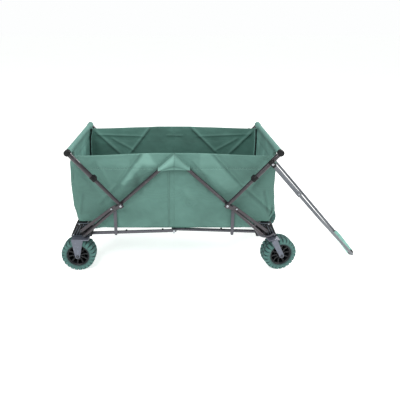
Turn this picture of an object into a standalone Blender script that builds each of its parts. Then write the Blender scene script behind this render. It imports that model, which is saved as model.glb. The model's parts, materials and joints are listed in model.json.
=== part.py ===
"""Folding camp wagon, built as separate solids for Blender 4.5.

Axes: +X to the front (the handle end), +Y to the left of the wagon, +Z up. The floor is z = 0.
Places are written in wagon coordinates, whose x = 0 is midway between the two ends of the tub,
and one empty moves the whole wagon so that the middle of its box stands on the origin.
"""
import math

import bmesh
import bpy
from mathutils import Vector

# Driving dimensions, in metres.
HUB_X = 0.430            # lower pivots of the long legs, from the middle
HUB_Z = 0.192
APEX_Z = 0.586           # where the front and rear legs meet
ELBOW_X = 0.2470         # where an upper arm crosses its leg
CORNER_X = 0.475         # top corners of the tub
CORNER_Z = 0.614
CRANK_X = 0.2935         # short arm's rivet below the elbow
CRANK_Z = 0.3365
RAIL_X = 0.408           # outer pivots of the floor rails
RAIL_Z = 0.188
RAIL_MID_Z = 0.2015
LINK_X = 0.281           # flat stays between leg and rail
HANDLE_X = 0.436         # pull handle's pivot
HANDLE_Z = 0.5705
HANDLE_DROP = math.radians(48.3)
HANDLE_LENGTH = 0.742
STRUT_OFFSET = 0.030     # strut pivot from the leg's hub
STRUT_BEARING = math.radians(118)
BOARD_Y = 0.1880         # half the width of the floor boards
BOARD = [(0.098, 0.2175), (0.390, 0.2175), (0.390, 0.2215), (0.098, 0.2215)]
TAB_X = (0.112, 0.232)   # brackets that carry the floor boards on the rails

# Layers across the wagon, measured from its centre plane.
RAIL_Y = {"rear": 0.2165, "front": 0.1995}
TUB_Y = (0.2260, 0.2290)
CASTING_Y = (0.1900, 0.2265, 0.2295)
LINK_Y = (0.2305, 0.2335)
LEG_Y = 0.2440
LUG_Y = {"rear": (0.2450, 0.2500), "front": (0.2395, 0.2443)}
STRUT_Y = (0.2535, 0.2560)
CRANK_Y = (0.2568, 0.2592)
ARM_Y = 0.2705
CAP_Y = (0.2575, 0.2825)
SLEEVE_Y = 0.2925

# Tube and pin radii.
LEG_R = 0.0085
ARM_R = 0.0085
ARM_UPPER_R = 0.0105
RAIL_R = 0.0080
BAR_R = 0.0090
CROSS_R = 0.0100
PIN_R = 0.0040
HOLE_R = 0.0045
SHAFT_R = 0.0060
SHAFT_HOLE_R = 0.0064
SLEEVE_R = 0.0095
BORE_R = 0.0076
LOOP_R = 0.0070
GRIP_R = 0.0155
CAP_R = 0.0150
GAP = 0.0003             # running clearance between pieces that touch

# Wheels and forks.
WHEEL_R = 0.083
REAR_WHEEL_X = 0.4688
REAR_WHEEL_Y = 0.219
CASTOR_X = 0.473
CASTOR_Y = 0.219
CASTOR_TRAIL = 0.045
CASTOR_YAW = {"near": math.radians(12), "far": math.radians(-6)}
PLATE_IN = 0.0425        # fork plates, from the wheel's middle
PLATE_OUT = 0.0455
CROWN_Z = (0.1705, 0.1765)
CASTING_TOP = 0.2500
WEB_TOP = 0.2495         # side web of a corner block; its inner corner is cut clear of the stay's foot
STEM_TOP = 0.233
RACE_HEIGHT = 0.0025     # castor race between crown plate and corner block
BOSS_R = 0.0115          # round end of a fork plate about its axle
POCKET_DEPTH = 0.0025    # recesses between a corner block's ribs

SIDES = {"near": -1, "far": 1}
ENDS = {"rear": -1, "front": 1}
TUBE_SIDES = 16
PIN_SIDES = 10
HOLE_SIDES = 12
WHEEL_SIDES = 32
HUB_SIDES = 24

WAGON_SHIFT = -(HANDLE_X + HANDLE_LENGTH * math.cos(HANDLE_DROP) + GRIP_R - REAR_WHEEL_X - WHEEL_R) / 2

MATERIALS = {
    "gunmetal_tube": ((0.105, 0.110, 0.120), 0.9, 0.28),
    "zinc_steel": ((0.300, 0.310, 0.330), 0.9, 0.38),
    "grey_fork_steel": ((0.190, 0.200, 0.215), 0.8, 0.42),
    "black_nylon": ((0.012, 0.013, 0.014), 0.0, 0.48),
    "green_rubber": ((0.070, 0.190, 0.150), 0.0, 0.72),
    "dark_hub_plastic": ((0.010, 0.012, 0.014), 0.0, 0.50),
    "sage_canvas": ((0.075, 0.175, 0.145), 0.0, 0.90),
    "sage_foam": ((0.160, 0.370, 0.310), 0.0, 0.80),
}

bodies = {}


# Scene, materials and placing.

def clear_scene():
    for obj in list(bpy.data.objects):
        bpy.data.objects.remove(obj, do_unlink=True)


def new_collection(name):
    made = bpy.data.collections.new(name)
    bpy.context.scene.collection.children.link(made)
    return made


def make_material(name):
    colour, metallic, roughness = MATERIALS[name]
    made = bpy.data.materials.new(name)
    made.use_nodes = True
    shader = made.node_tree.nodes["Principled BSDF"]
    shader.inputs["Base Color"].default_value = (*colour, 1.0)
    shader.inputs["Metallic"].default_value = metallic
    shader.inputs["Roughness"].default_value = roughness
    return made


def make_body(name, x, z, y=0.0, yaw=0.0):
    """An empty on a moving group's axis; the group's pieces are parented to it."""
    empty = bpy.data.objects.new(name + "_axis", None)
    empty.parent = wagon
    empty.location = (x, y, z)
    empty.rotation_euler = (0.0, 0.0, yaw)
    parts.objects.link(empty)
    bodies[name] = empty


def put(obj, body, location, rotation=(0.0, 0.0, 0.0)):
    """Parents an object to a group, with its place given in wagon coordinates."""
    obj.parent = bodies[body]
    obj.location = Vector(location) - bodies[body].location
    obj.rotation_euler = rotation


def new_object(name, data, material):
    obj = bpy.data.objects.new(name, data)
    parts.objects.link(obj)
    data.materials.append(materials[material])
    return obj


def as_mesh(obj):
    """Turns a curve object into a mesh object with its caps welded on."""
    depsgraph = bpy.context.evaluated_depsgraph_get()
    mesh = bpy.data.meshes.new_from_object(obj.evaluated_get(depsgraph))
    welded = bmesh.new()
    welded.from_mesh(mesh)
    bmesh.ops.remove_doubles(welded, verts=welded.verts, dist=0.00002)
    welded.to_mesh(mesh)
    welded.free()
    name = obj.name
    bpy.data.objects.remove(obj, do_unlink=True)
    made = bpy.data.objects.new(name, mesh)
    parts.objects.link(made)
    return made


def combine(target, tool, operation):
    """Joins or cuts a piece with a tool, which stays as a hidden wire object."""
    parts.objects.unlink(tool)
    tools.objects.link(tool)
    tool.hide_render = True
    tool.display_type = "WIRE"
    boolean = target.modifiers.new(operation.lower(), "BOOLEAN")
    boolean.operation = operation
    boolean.object = tool


# Shapes.

def cylinder(name, body, start, end, radius, material, sides=TUBE_SIDES):
    """A round bar from one point to another."""
    start, end = Vector(start), Vector(end)
    length = (end - start).length
    form = bmesh.new()
    bmesh.ops.create_cone(form, cap_ends=True, segments=sides, radius1=radius, radius2=radius, depth=length)
    bmesh.ops.translate(form, verts=form.verts, vec=(0.0, 0.0, length / 2))
    mesh = bpy.data.meshes.new(name)
    form.to_mesh(mesh)
    form.free()
    mesh.shade_smooth()
    mesh.set_sharp_from_angle(angle=math.radians(40))
    obj = new_object(name, mesh, material)
    put(obj, body, start, (end - start).to_track_quat("Z", "Y").to_euler())
    return obj


def cross_bar(name, body, x, z, y_from, y_to, radius, material, sides=TUBE_SIDES):
    return cylinder(name, body, (x, y_from, z), (x, y_to, z), radius, material, sides)


def drill(target, body, x, z, side, y_from, y_to, radius):
    hole = cross_bar("hole", body, x, z, side * y_from, side * y_to, radius, "zinc_steel", HOLE_SIDES)
    combine(target, hole, "DIFFERENCE")


def add_pin(target, body, x, z, side, y_from, y_to, radius=PIN_R):
    pin = cross_bar("pin", body, x, z, side * y_from, side * y_to, radius, "zinc_steel", PIN_SIDES)
    combine(target, pin, "UNION")


def turned(name, profile, material, steps, closed):
    """A turned piece about its own Z axis, from a profile of (radius, height) points."""
    mesh = bpy.data.meshes.new(name)
    edges = [(i, i + 1) for i in range(len(profile) - 1)]
    if closed:
        edges.append((len(profile) - 1, 0))
    mesh.from_pydata([(radius, 0.0, height) for radius, height in profile], edges, [])
    obj = new_object(name, mesh, material)
    screw = obj.modifiers.new("turn", "SCREW")
    screw.axis = "Z"
    screw.steps = steps
    screw.render_steps = steps
    screw.use_merge_vertices = True
    screw.merge_threshold = 0.00005
    screw.use_smooth_shade = True
    return obj


def outline_plate(name, body, outline, y_from, y_to, material):
    """A flat plate across the wagon, from an outline of (x, z) points."""
    curve = bpy.data.curves.new(name, "CURVE")
    curve.dimensions = "2D"
    curve.fill_mode = "BOTH"
    curve.extrude = abs(y_to - y_from) / 2
    spline = curve.splines.new("POLY")
    spline.points.add(len(outline) - 1)
    spline.use_cyclic_u = True
    for point, (x, z) in zip(spline.points, outline):
        point.co = (x, z, 0.0, 1.0)
    obj = as_mesh(new_object(name, curve, material))
    put(obj, body, (0.0, (y_from + y_to) / 2, 0.0), (math.radians(90), 0.0, 0.0))
    return obj


def strap_outline(start, start_r, end, end_r, steps=6):
    """The outline of a flat strap with a round end about each of two points."""
    heading = math.atan2(end[1] - start[1], end[0] - start[0])
    outline = []
    for centre, radius, turn in ((end, end_r, -0.5), (start, start_r, 0.5)):
        for i in range(steps + 1):
            angle = heading + math.pi * (turn + i / steps)
            outline.append((centre[0] + radius * math.cos(angle), centre[1] + radius * math.sin(angle)))
    return outline


def along(start, end, distance):
    """The point at a distance from start towards end, in (x, z)."""
    run = math.hypot(end[0] - start[0], end[1] - start[1])
    share = distance / run
    return start[0] + (end[0] - start[0]) * share, start[1] + (end[1] - start[1]) * share


def fillet(path, radii, steps=6):
    """Rounds the inner corners of a flat path of (s, y) points."""
    smooth = [path[0]]
    for before, corner, after, radius in zip(path, path[1:], path[2:], radii):
        back = Vector(before) - Vector(corner)
        ahead = Vector(after) - Vector(corner)
        half = back.angle(ahead) / 2
        reach = radius / math.tan(half)
        bisector = (back.normalized() + ahead.normalized()).normalized()
        centre = Vector(corner) + bisector * (radius / math.sin(half))
        first = Vector(corner) + back.normalized() * reach - centre
        last = Vector(corner) + ahead.normalized() * reach - centre
        for i in range(steps + 1):
            smooth.append(tuple(centre + first.lerp(last, i / steps).normalized() * radius))
    smooth.append(path[-1])
    return smooth


# Groups of the wagon.

def make_bodies():
    elbow_z = leg_point(ELBOW_X)[1]
    make_body("rear_base", -HUB_X, HUB_Z)
    make_body("rear_legs", -HUB_X, HUB_Z)
    make_body("front_legs", 0.0, APEX_Z)
    make_body("front_base", HUB_X, HUB_Z)
    make_body("handle_sleeves", HANDLE_X, HANDLE_Z)
    make_body("handle_loop", HANDLE_X, HANDLE_Z)
    for end, front in ENDS.items():
        make_body(end + "_arms", front * ELBOW_X, elbow_z)
        make_body(end + "_panel", front * CORNER_X, CORNER_Z)
        make_body(end + "_rails", front * RAIL_X, RAIL_Z)
        strut_x, strut_z = strut_pivot()
        make_body(end + "_struts", front * strut_x, strut_z)
        make_body(end + "_stays", front * LINK_X, leg_point(LINK_X)[1])
    for side, out in SIDES.items():
        make_body("rear_wheel_" + side, -REAR_WHEEL_X, WHEEL_R, out * REAR_WHEEL_Y)
        yaw = CASTOR_YAW[side]
        make_body("castor_" + side, CASTOR_X, CROWN_Z[1], out * CASTOR_Y, yaw)
        wheel_x = CASTOR_X + CASTOR_TRAIL * math.cos(yaw)
        wheel_y = out * CASTOR_Y + CASTOR_TRAIL * math.sin(yaw)
        make_body("front_wheel_" + side, wheel_x, WHEEL_R, wheel_y, yaw)


def leg_point(x):
    """The point of a leg's centre line at a distance x from the middle."""
    return x, HUB_Z + (HUB_X - x) * (APEX_Z - HUB_Z) / HUB_X


def strut_pivot():
    return HUB_X - STRUT_OFFSET * math.cos(STRUT_BEARING), HUB_Z + STRUT_OFFSET * math.sin(STRUT_BEARING)


def mirror_x(points, front):
    """Puts points made for the front end at either end, keeping their turning sense."""
    placed = [(front * x, z) for x, z in points]
    return placed if front > 0 else placed[::-1]


def make_casting(end, side):
    """A ribbed corner block that holds the leg's hub, the rail, the strut and the wheel."""
    front, out = ENDS[end], SIDES[side]
    name, body = f"{end}_casting_{side}", end + "_base"
    inner, step, outer = CASTING_Y
    bottom = CROWN_Z[1] + GAP
    block = [(0.4185, bottom), (0.5000, bottom), (0.4685, CASTING_TOP), (0.4185, CASTING_TOP)]
    web = [(0.4000, bottom), (0.4990, bottom), (0.4675, WEB_TOP), (0.4080, WEB_TOP), (0.3790, 0.2400)]
    casting = outline_plate(name, body, mirror_x(block, front), out * inner, out * (step + 0.001),
                            "black_nylon")
    plate = outline_plate("web", body, mirror_x(web, front), out * step, out * outer, "black_nylon")
    combine(casting, plate, "UNION")
    strut_x, strut_z = strut_pivot()
    add_pin(casting, body, front * strut_x, strut_z, out, outer - 0.002, STRUT_Y[1] + 0.0004)
    add_pin(casting, body, front * strut_x, strut_z, out, outer - 0.002, LEG_Y + LEG_R, PIN_R + 0.002)
    drill(casting, body, front * HUB_X, HUB_Z, out, inner - 0.01, outer + 0.01, SHAFT_HOLE_R)
    drill(casting, body, front * RAIL_X, RAIL_Z, out, step - 0.01, outer + 0.01, HOLE_R)
    for i in range(3):
        x = 0.4555 + 0.012 * i
        high = 0.203 + 0.006 * (2 - i)
        slot = [(x, 0.183), (x + 0.006, 0.183), (x + 0.003, high - 0.006), (x - 0.003, high)]
        pocket = outline_plate("pocket", body, mirror_x(slot, front), out * (outer - POCKET_DEPTH),
                               out * (outer + POCKET_DEPTH), "black_nylon")
        combine(casting, pocket, "DIFFERENCE")
    if end == "front":
        bore = cylinder("bore", body, (CASTOR_X, out * CASTOR_Y, bottom - 0.01),
                        (CASTOR_X, out * CASTOR_Y, STEM_TOP + 0.003), SHAFT_HOLE_R, "zinc_steel")
        combine(casting, bore, "DIFFERENCE")


def make_base(end):
    front, body = ENDS[end], end + "_base"
    for side in SIDES:
        make_casting(end, side)
    reach = CASTING_Y[0] - GAP
    cross_bar(end + "_cross_tube", body, front * 0.455, 0.205, -reach, reach, CROSS_R, "gunmetal_tube")


def make_fork(name, body, crown, cheek_top, axle, middle, castor):
    """A crown plate with a tapered cheek down each side of the wheel, and a castor's stem."""
    low, high = CROWN_Z
    plate_top = high - RACE_HEIGHT if castor else high
    crown_outline = [(crown[0], low), (crown[1], low), (crown[1], plate_top), (crown[0], plate_top)]
    fork = outline_plate(name, body, crown_outline, middle - PLATE_OUT, middle + PLATE_OUT, "grey_fork_steel")
    cheek = [(cheek_top[0], low + 0.002)]
    for i in range(7):
        turn = math.pi * (1 + i / 6)
        cheek.append((axle[0] + BOSS_R * math.cos(turn), axle[1] + BOSS_R * math.sin(turn)))
    cheek.append((cheek_top[1], low + 0.002))
    for out in (-1, 1):
        plate = outline_plate("cheek", body, cheek, middle + out * PLATE_IN, middle + out * PLATE_OUT,
                              "grey_fork_steel")
        combine(fork, plate, "UNION")
    bore = cross_bar("bore", body, axle[0], axle[1], middle - 0.06, middle + 0.06, HOLE_R, "zinc_steel",
                     HOLE_SIDES)
    combine(fork, bore, "DIFFERENCE")
    if castor:
        for top, radius in ((high, 0.017), (STEM_TOP, SHAFT_R)):
            post = cylinder("post", body, (CASTOR_X, middle, low + 0.001), (CASTOR_X, middle, top), radius,
                            "zinc_steel")
            combine(fork, post, "UNION")


def make_wheel(prefix, side, fork_body, wheel_body):
    """An axle bolt in the fork, and a hub and a tyre that turn on it."""
    centre = bodies[wheel_body].location
    yaw = bodies[wheel_body].rotation_euler.z
    half = PLATE_OUT + GAP
    bolt = [(0.0, half + 0.0035), (0.006, half + 0.0035), (0.008, half + 0.002), (0.008, half),
            (PIN_R, half), (PIN_R, -half), (0.008, -half), (0.008, -half - 0.002),
            (0.006, -half - 0.0035), (0.0, -half - 0.0035)]
    axle = turned(f"{prefix}_axle_{side}", bolt, "zinc_steel", PIN_SIDES, closed=False)
    hub_profile = [(0.0537, 0.031), (0.0537, -0.031), (0.047, -0.031), (0.044, -0.012), (0.017, -0.012),
                   (0.0145, -0.0385), (HOLE_R, -0.0385), (HOLE_R, 0.0385), (0.0145, 0.0385), (0.017, 0.012),
                   (0.044, 0.012), (0.047, 0.031)]
    hub = turned(f"{prefix}_hub_{side}", hub_profile, "dark_hub_plastic", HUB_SIDES, closed=True)
    tyre_profile = [(0.0542, 0.034), (0.062, 0.0385), (0.074, 0.039), (0.080, 0.033), (WHEEL_R, 0.018),
                    (WHEEL_R, -0.018), (0.080, -0.033), (0.074, -0.039), (0.062, -0.0385), (0.0542, -0.034)]
    tyre = turned(f"{prefix}_tyre_{side}", tyre_profile, "green_rubber", WHEEL_SIDES, closed=True)
    across = (math.radians(90), 0.0, 0.0)
    put(hub, wheel_body, centre, across)
    put(tyre, wheel_body, centre, across)
    if yaw:
        pivot = bodies[fork_body].location
        put(axle, fork_body, (pivot.x + CASTOR_TRAIL, pivot.y, WHEEL_R), across)
    else:
        put(axle, fork_body, centre, across)


def make_running_gear():
    for side, out in SIDES.items():
        make_fork("rear_fork_" + side, "rear_base", (-0.4940, -0.4100), (-0.4940, -0.4370),
                  (-REAR_WHEEL_X, WHEEL_R), out * REAR_WHEEL_Y, castor=False)
        make_wheel("rear", side, "rear_base", "rear_wheel_" + side)
        make_fork("castor_fork_" + side, "castor_" + side, (CASTOR_X - 0.028, CASTOR_X + 0.028),
                  (CASTOR_X - 0.0130, CASTOR_X + 0.0130), (CASTOR_X + CASTOR_TRAIL, WHEEL_R),
                  out * CASTOR_Y, castor=True)
        make_wheel("front", side, "castor_" + side, "front_wheel_" + side)


def make_legs(end):
    """Two long legs on one hub shaft, with lapped lugs where they meet the other pair."""
    front, body = ENDS[end], end + "_legs"
    hub, apex = (front * HUB_X, HUB_Z), (0.0, APEX_Z)
    run = math.hypot(HUB_X, APEX_Z - HUB_Z)
    low, high = along(hub, apex, -0.009), along(hub, apex, run - 0.054)
    lug_root = along(hub, apex, run - 0.068)
    elbow, stay = leg_point(ELBOW_X), leg_point(LINK_X)
    lug_in, lug_out = LUG_Y[end]
    for side, out in SIDES.items():
        leg = cylinder(f"{end}_leg_{side}", body, (low[0], out * LEG_Y, low[1]),
                       (high[0], out * LEG_Y, high[1]), LEG_R, "gunmetal_tube")
        lug = outline_plate("lug", body, strap_outline(lug_root, 0.007, apex, 0.0085), out * lug_in,
                            out * lug_out, "zinc_steel")
        combine(leg, lug, "UNION")
        add_pin(leg, body, front * elbow[0], elbow[1], out, LEG_Y, 0.2820)
        add_pin(leg, body, front * elbow[0], elbow[1], out, 0.2798, 0.2822, 0.0075)
        add_pin(leg, body, front * stay[0], stay[1], out, 0.2297, LEG_Y)
        drill(leg, body, front * HUB_X, HUB_Z, out, LEG_Y - 0.02, LEG_Y + 0.02, SHAFT_HOLE_R)
        if end == "front":
            add_pin(leg, body, 0.0, APEX_Z, out, lug_in + 0.001, LUG_Y["rear"][1] + 0.0015)
        else:
            drill(leg, body, 0.0, APEX_Z, out, lug_in - 0.01, lug_out + 0.01, HOLE_R)
    collar_in, collar_out = CASTING_Y[2] + GAP, LEG_Y - LEG_R - GAP
    shaft_end = LEG_Y + LEG_R + 0.0008
    profile = [(0.0, shaft_end), (SHAFT_R, shaft_end), (SHAFT_R, collar_out), (0.011, collar_out),
               (0.011, collar_in), (SHAFT_R, collar_in), (SHAFT_R, -collar_in), (0.011, -collar_in),
               (0.011, -collar_out), (SHAFT_R, -collar_out), (SHAFT_R, -shaft_end), (0.0, -shaft_end)]
    shaft = turned(end + "_hub_shaft", profile, "zinc_steel", TUBE_SIDES, closed=False)
    put(shaft, body, (front * HUB_X, 0.0, HUB_Z), (math.radians(90), 0.0, 0.0))


def make_arms(end):
    """An upper arm on each side, its short crank plate and the cap at its top corner."""
    front, body = ENDS[end], end + "_arms"
    elbow_x, elbow_z = leg_point(ELBOW_X)
    elbow, corner = (front * elbow_x, elbow_z), (front * CORNER_X, CORNER_Z)
    run = math.hypot(corner[0] - elbow[0], corner[1] - elbow[1])
    low, sleeve, clip, top = (along(elbow, corner, s) for s in (-0.013, 0.180, 0.195, run - 0.0158))
    crank = (front * CRANK_X, CRANK_Z)
    for side, out in SIDES.items():
        arm = cylinder(f"{end}_arm_{side}", body, (low[0], out * ARM_Y, low[1]),
                       (clip[0], out * ARM_Y, clip[1]), ARM_R, "gunmetal_tube")
        upper = cylinder("upper", body, (sleeve[0], out * ARM_Y, sleeve[1]), (top[0], out * ARM_Y, top[1]),
                         ARM_UPPER_R, "gunmetal_tube")
        combine(arm, upper, "UNION")
        add_pin(arm, body, elbow[0], elbow[1], out, CRANK_Y[0], ARM_Y, 0.0100)
        plate = outline_plate("crank", body, strap_outline(elbow, 0.0110, crank, 0.0085), out * CRANK_Y[0],
                              out * CRANK_Y[1], "zinc_steel")
        combine(arm, plate, "UNION")
        add_pin(arm, body, crank[0], crank[1], out, CRANK_Y[0] + 0.0005, CRANK_Y[1] + 0.0030, 0.0050)
        drill(arm, body, elbow[0], elbow[1], out, 0.245, 0.295, HOLE_R)
        if end == "front":
            drill(arm, body, HANDLE_X, HANDLE_Z, out, 0.245, 0.295, HOLE_R)
        cap = cross_bar(f"{end}_corner_cap_{side}", body, corner[0], corner[1], out * CAP_Y[0],
                        out * CAP_Y[1], CAP_R, "black_nylon", 20)
        bevel = cap.modifiers.new("round_edge", "BEVEL")
        bevel.width = 0.003
        bevel.segments = 2
        bevel.limit_method = "ANGLE"


def make_end_panel(end):
    """The top bar that turns in the corner caps, and the cloth end wall that hangs from it."""
    front, body = ENDS[end], end + "_panel"
    reach = CAP_Y[0] - GAP
    cross_bar(end + "_top_bar", body, front * CORNER_X, CORNER_Z, -reach, reach, BAR_R, "gunmetal_tube")
    wall = [(0.4530, 0.256), (0.4570, 0.256), (0.4680, 0.600), (0.4640, 0.600)]
    outline_plate(end + "_wall", body, mirror_x(wall, front), -0.2245, 0.2245, "sage_canvas")


def make_side_wall(side):
    """One long cloth wall of the tub, with a lower edge that rises over the corner blocks."""
    out = SIDES[side]
    half = [(0.356, 0.2230), (0.366, 0.2545), (0.4565, 0.2560), (0.4675, 0.600)]
    outline = half + [(-x, z) for x, z in reversed(half)]
    outline_plate("side_wall_" + side, "rear_panel", outline, out * TUB_Y[0], out * TUB_Y[1], "sage_canvas")


def make_rails(end):
    """A floor rail on each side, and the floor board that folds with them."""
    front, body = ENDS[end], end + "_rails"
    hinge, middle = (front * RAIL_X, RAIL_Z), (0.0, RAIL_MID_Z)
    run = math.hypot(RAIL_X, RAIL_MID_Z - RAIL_Z)
    high = along(hinge, middle, run + 0.012)
    for side, out in SIDES.items():
        y = out * RAIL_Y[end]
        rail = cylinder(f"{end}_rail_{side}", body, (hinge[0], y, hinge[1]), (high[0], y, high[1]),
                        RAIL_R, "gunmetal_tube")
        add_pin(rail, body, hinge[0], hinge[1], out, RAIL_Y[end], CASTING_Y[2] - 0.0005)
        outward = RAIL_Y[end] - front * (RAIL_R + 0.0015)
        add_pin(rail, body, middle[0], middle[1], out, RAIL_Y[end], outward, 0.0055)
    board = outline_plate(end + "_floor_board", body, mirror_x(BOARD, front), -BOARD_Y, BOARD_Y, "sage_canvas")
    for x in TAB_X:
        rail_top = RAIL_Z + (RAIL_X - x) * (RAIL_MID_Z - RAIL_Z) / RAIL_X + RAIL_R + GAP
        tab = [(x - 0.006, rail_top), (x + 0.006, rail_top), (x + 0.006, 0.2205), (x - 0.006, 0.2205)]
        for out in SIDES.values():
            bracket = outline_plate("tab", body, mirror_x(tab, front), out * (BOARD_Y - 0.001),
                                    out * (RAIL_Y[end] + 0.005), "black_nylon")
            combine(board, bracket, "UNION")


def make_struts_and_stays(end):
    """The thin strut beside each leg, and the flat stay between each leg and its rail."""
    front = ENDS[end]
    pivot_x, pivot_z = strut_pivot()
    pivot, crank = (front * pivot_x, pivot_z), (front * CRANK_X, CRANK_Z)
    stay_x, stay_z = leg_point(LINK_X)
    foot_z = RAIL_Z + (RAIL_X - LINK_X) * (RAIL_MID_Z - RAIL_Z) / RAIL_X
    for side, out in SIDES.items():
        strut = outline_plate(f"{end}_strut_{side}", end + "_struts",
                              strap_outline(pivot, 0.0075, crank, 0.0065), out * STRUT_Y[0],
                              out * STRUT_Y[1], "gunmetal_tube")
        drill(strut, end + "_struts", pivot[0], pivot[1], out, 0.245, 0.265, HOLE_R)
        stay = outline_plate(f"{end}_stay_{side}", end + "_stays",
                             strap_outline((front * stay_x, stay_z), 0.0075, (front * stay_x, foot_z),
                                           0.0075), out * LINK_Y[0], out * LINK_Y[1], "gunmetal_tube")
        drill(stay, end + "_stays", front * stay_x, stay_z, out, 0.225, 0.240, HOLE_R)
        add_pin(stay, end + "_stays", front * stay_x, foot_z, out, RAIL_Y[end] + RAIL_R + 0.0007,
                LINK_Y[0] + 0.001)


def handle_point(s, y):
    """A point of the handle at a distance s from its pivot, at rest."""
    return HANDLE_X + s * math.cos(HANDLE_DROP), y, HANDLE_Z - s * math.sin(HANDLE_DROP)


def make_handle():
    """Two outer tubes pinned to the front arms, and the loop with its grip that slides in them."""
    heading = Vector(handle_point(1.0, 0.0)) - Vector(handle_point(0.0, 0.0))
    lean = heading.to_track_quat("Z", "Y").to_euler()
    for side, out in SIDES.items():
        profile = [(0.0, 0.014), (BORE_R, 0.014), (BORE_R, 0.200), (SLEEVE_R, 0.200), (SLEEVE_R, -0.012),
                   (SLEEVE_R - 0.003, -0.014), (0.0, -0.014)]
        sleeve = turned("handle_sleeve_" + side, profile, "gunmetal_tube", TUBE_SIDES, closed=False)
        put(sleeve, "handle_sleeves", handle_point(0.0, out * SLEEVE_Y), lean)
        add_pin(sleeve, "handle_sleeves", HANDLE_X, HANDLE_Z, out, 0.2590, SLEEVE_Y - 0.002)
        add_pin(sleeve, "handle_sleeves", HANDLE_X, HANDLE_Z, out, SLEEVE_Y,
                SLEEVE_Y + SLEEVE_R + 0.0015, 0.0055)
    corners = [(0.170, -SLEEVE_Y), (0.360, -SLEEVE_Y), (HANDLE_LENGTH, -0.136), (HANDLE_LENGTH, 0.136),
               (0.360, SLEEVE_Y), (0.170, SLEEVE_Y)]
    path = fillet(corners, (0.060, 0.028, 0.028, 0.060))
    curve = bpy.data.curves.new("handle_loop", "CURVE")
    curve.dimensions = "3D"
    curve.bevel_depth = LOOP_R
    curve.bevel_resolution = 2
    curve.use_fill_caps = True
    spline = curve.splines.new("POLY")
    spline.points.add(len(path) - 1)
    for point, (s, y) in zip(spline.points, path):
        x, y, z = Vector(handle_point(s, y)) - bodies["handle_loop"].location
        point.co = (x, y, z, 1.0)
    put(new_object("handle_loop", curve, "gunmetal_tube"), "handle_loop", (HANDLE_X, 0.0, HANDLE_Z))
    half = 0.104
    ring = [(LOOP_R + GAP, half), (GRIP_R - 0.003, half), (GRIP_R, half - 0.003), (GRIP_R, 0.003 - half),
            (GRIP_R - 0.003, -half), (LOOP_R + GAP, -half)]
    grip = turned("handle_grip", ring, "sage_foam", 20, closed=True)
    put(grip, "handle_loop", handle_point(HANDLE_LENGTH, 0.0), (math.radians(90), 0.0, 0.0))


clear_scene()
parts = new_collection("folding_camp_wagon")
tools = new_collection("boolean_tools")
materials = {name: make_material(name) for name in MATERIALS}
wagon = bpy.data.objects.new("wagon_centre", None)
wagon.location = (WAGON_SHIFT, 0.0, 0.0)
parts.objects.link(wagon)

make_bodies()
make_running_gear()
for end_name in ENDS:
    make_base(end_name)
    make_legs(end_name)
    make_arms(end_name)
    make_end_panel(end_name)
    make_rails(end_name)
    make_struts_and_stays(end_name)
for side_name in SIDES:
    make_side_wall(side_name)
make_handle()
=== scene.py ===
"""Looks of the folding camp wagon: sewn tub, trim, wheels, handle grip, materials and stage."""
import json
import math

import bmesh
import bpy
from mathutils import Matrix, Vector, noise


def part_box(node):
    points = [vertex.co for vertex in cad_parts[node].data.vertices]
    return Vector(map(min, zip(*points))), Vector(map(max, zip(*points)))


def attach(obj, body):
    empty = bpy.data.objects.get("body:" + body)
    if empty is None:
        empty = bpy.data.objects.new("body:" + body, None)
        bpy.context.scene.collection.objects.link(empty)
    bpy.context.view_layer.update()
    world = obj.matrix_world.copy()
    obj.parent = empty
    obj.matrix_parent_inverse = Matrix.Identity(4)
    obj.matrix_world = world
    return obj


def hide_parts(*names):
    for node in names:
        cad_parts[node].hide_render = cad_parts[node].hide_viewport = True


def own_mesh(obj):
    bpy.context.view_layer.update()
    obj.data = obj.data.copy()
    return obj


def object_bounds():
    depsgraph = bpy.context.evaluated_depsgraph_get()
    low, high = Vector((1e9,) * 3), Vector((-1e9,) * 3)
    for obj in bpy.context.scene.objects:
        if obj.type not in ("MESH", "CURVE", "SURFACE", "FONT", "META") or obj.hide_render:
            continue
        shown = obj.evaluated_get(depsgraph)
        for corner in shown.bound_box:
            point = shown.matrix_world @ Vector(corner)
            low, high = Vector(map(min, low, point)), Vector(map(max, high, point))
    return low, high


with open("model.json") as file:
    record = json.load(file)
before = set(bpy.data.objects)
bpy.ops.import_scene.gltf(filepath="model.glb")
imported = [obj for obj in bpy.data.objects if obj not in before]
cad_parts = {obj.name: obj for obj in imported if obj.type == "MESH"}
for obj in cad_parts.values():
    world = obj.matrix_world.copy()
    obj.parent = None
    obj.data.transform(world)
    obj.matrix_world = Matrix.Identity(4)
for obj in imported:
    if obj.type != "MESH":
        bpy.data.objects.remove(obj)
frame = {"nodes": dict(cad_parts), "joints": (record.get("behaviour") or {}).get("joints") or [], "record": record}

bl_info = {
    "name": "Folding Camp Wagon",
    "version": (1, 0, 0),
    "blender": (4, 5, 0),
    "location": "View3D > Sidebar > Wagon",
    "description": "Dresses a folding camp wagon frame with its sewn tub, wheels, trim and stage",
    "category": "Object",
}

CAD_LOW, CAD_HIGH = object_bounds()
JOINTS = {joint["name"]: Vector(joint["pos_m"]) for joint in frame["joints"] if "pos_m" in joint}
AXES = {joint["name"]: Vector(joint["axis"]).normalized() for joint in frame["joints"]}
SLOTS = {part["node"]: part["material_slot"] for part in frame["record"]["subparts"]}
SIDES = {"near": -1, "far": 1}
ENDS = {"rear": -1, "front": 1}


def outer_y(node):
    """How far a frame part reaches from the wagon's middle plane."""
    low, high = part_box(node)
    return max(abs(low.y), abs(high.y))


def top_z(node):
    """Height of a frame part's top."""
    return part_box(node)[1].z


APEX = JOINTS["apex"]
MIDDLE_X = (JOINTS["rear_top_corner"].x + JOINTS["front_top_corner"].x) / 2
HALF = (JOINTS["front_top_corner"].x - JOINTS["rear_top_corner"].x) / 2

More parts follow.
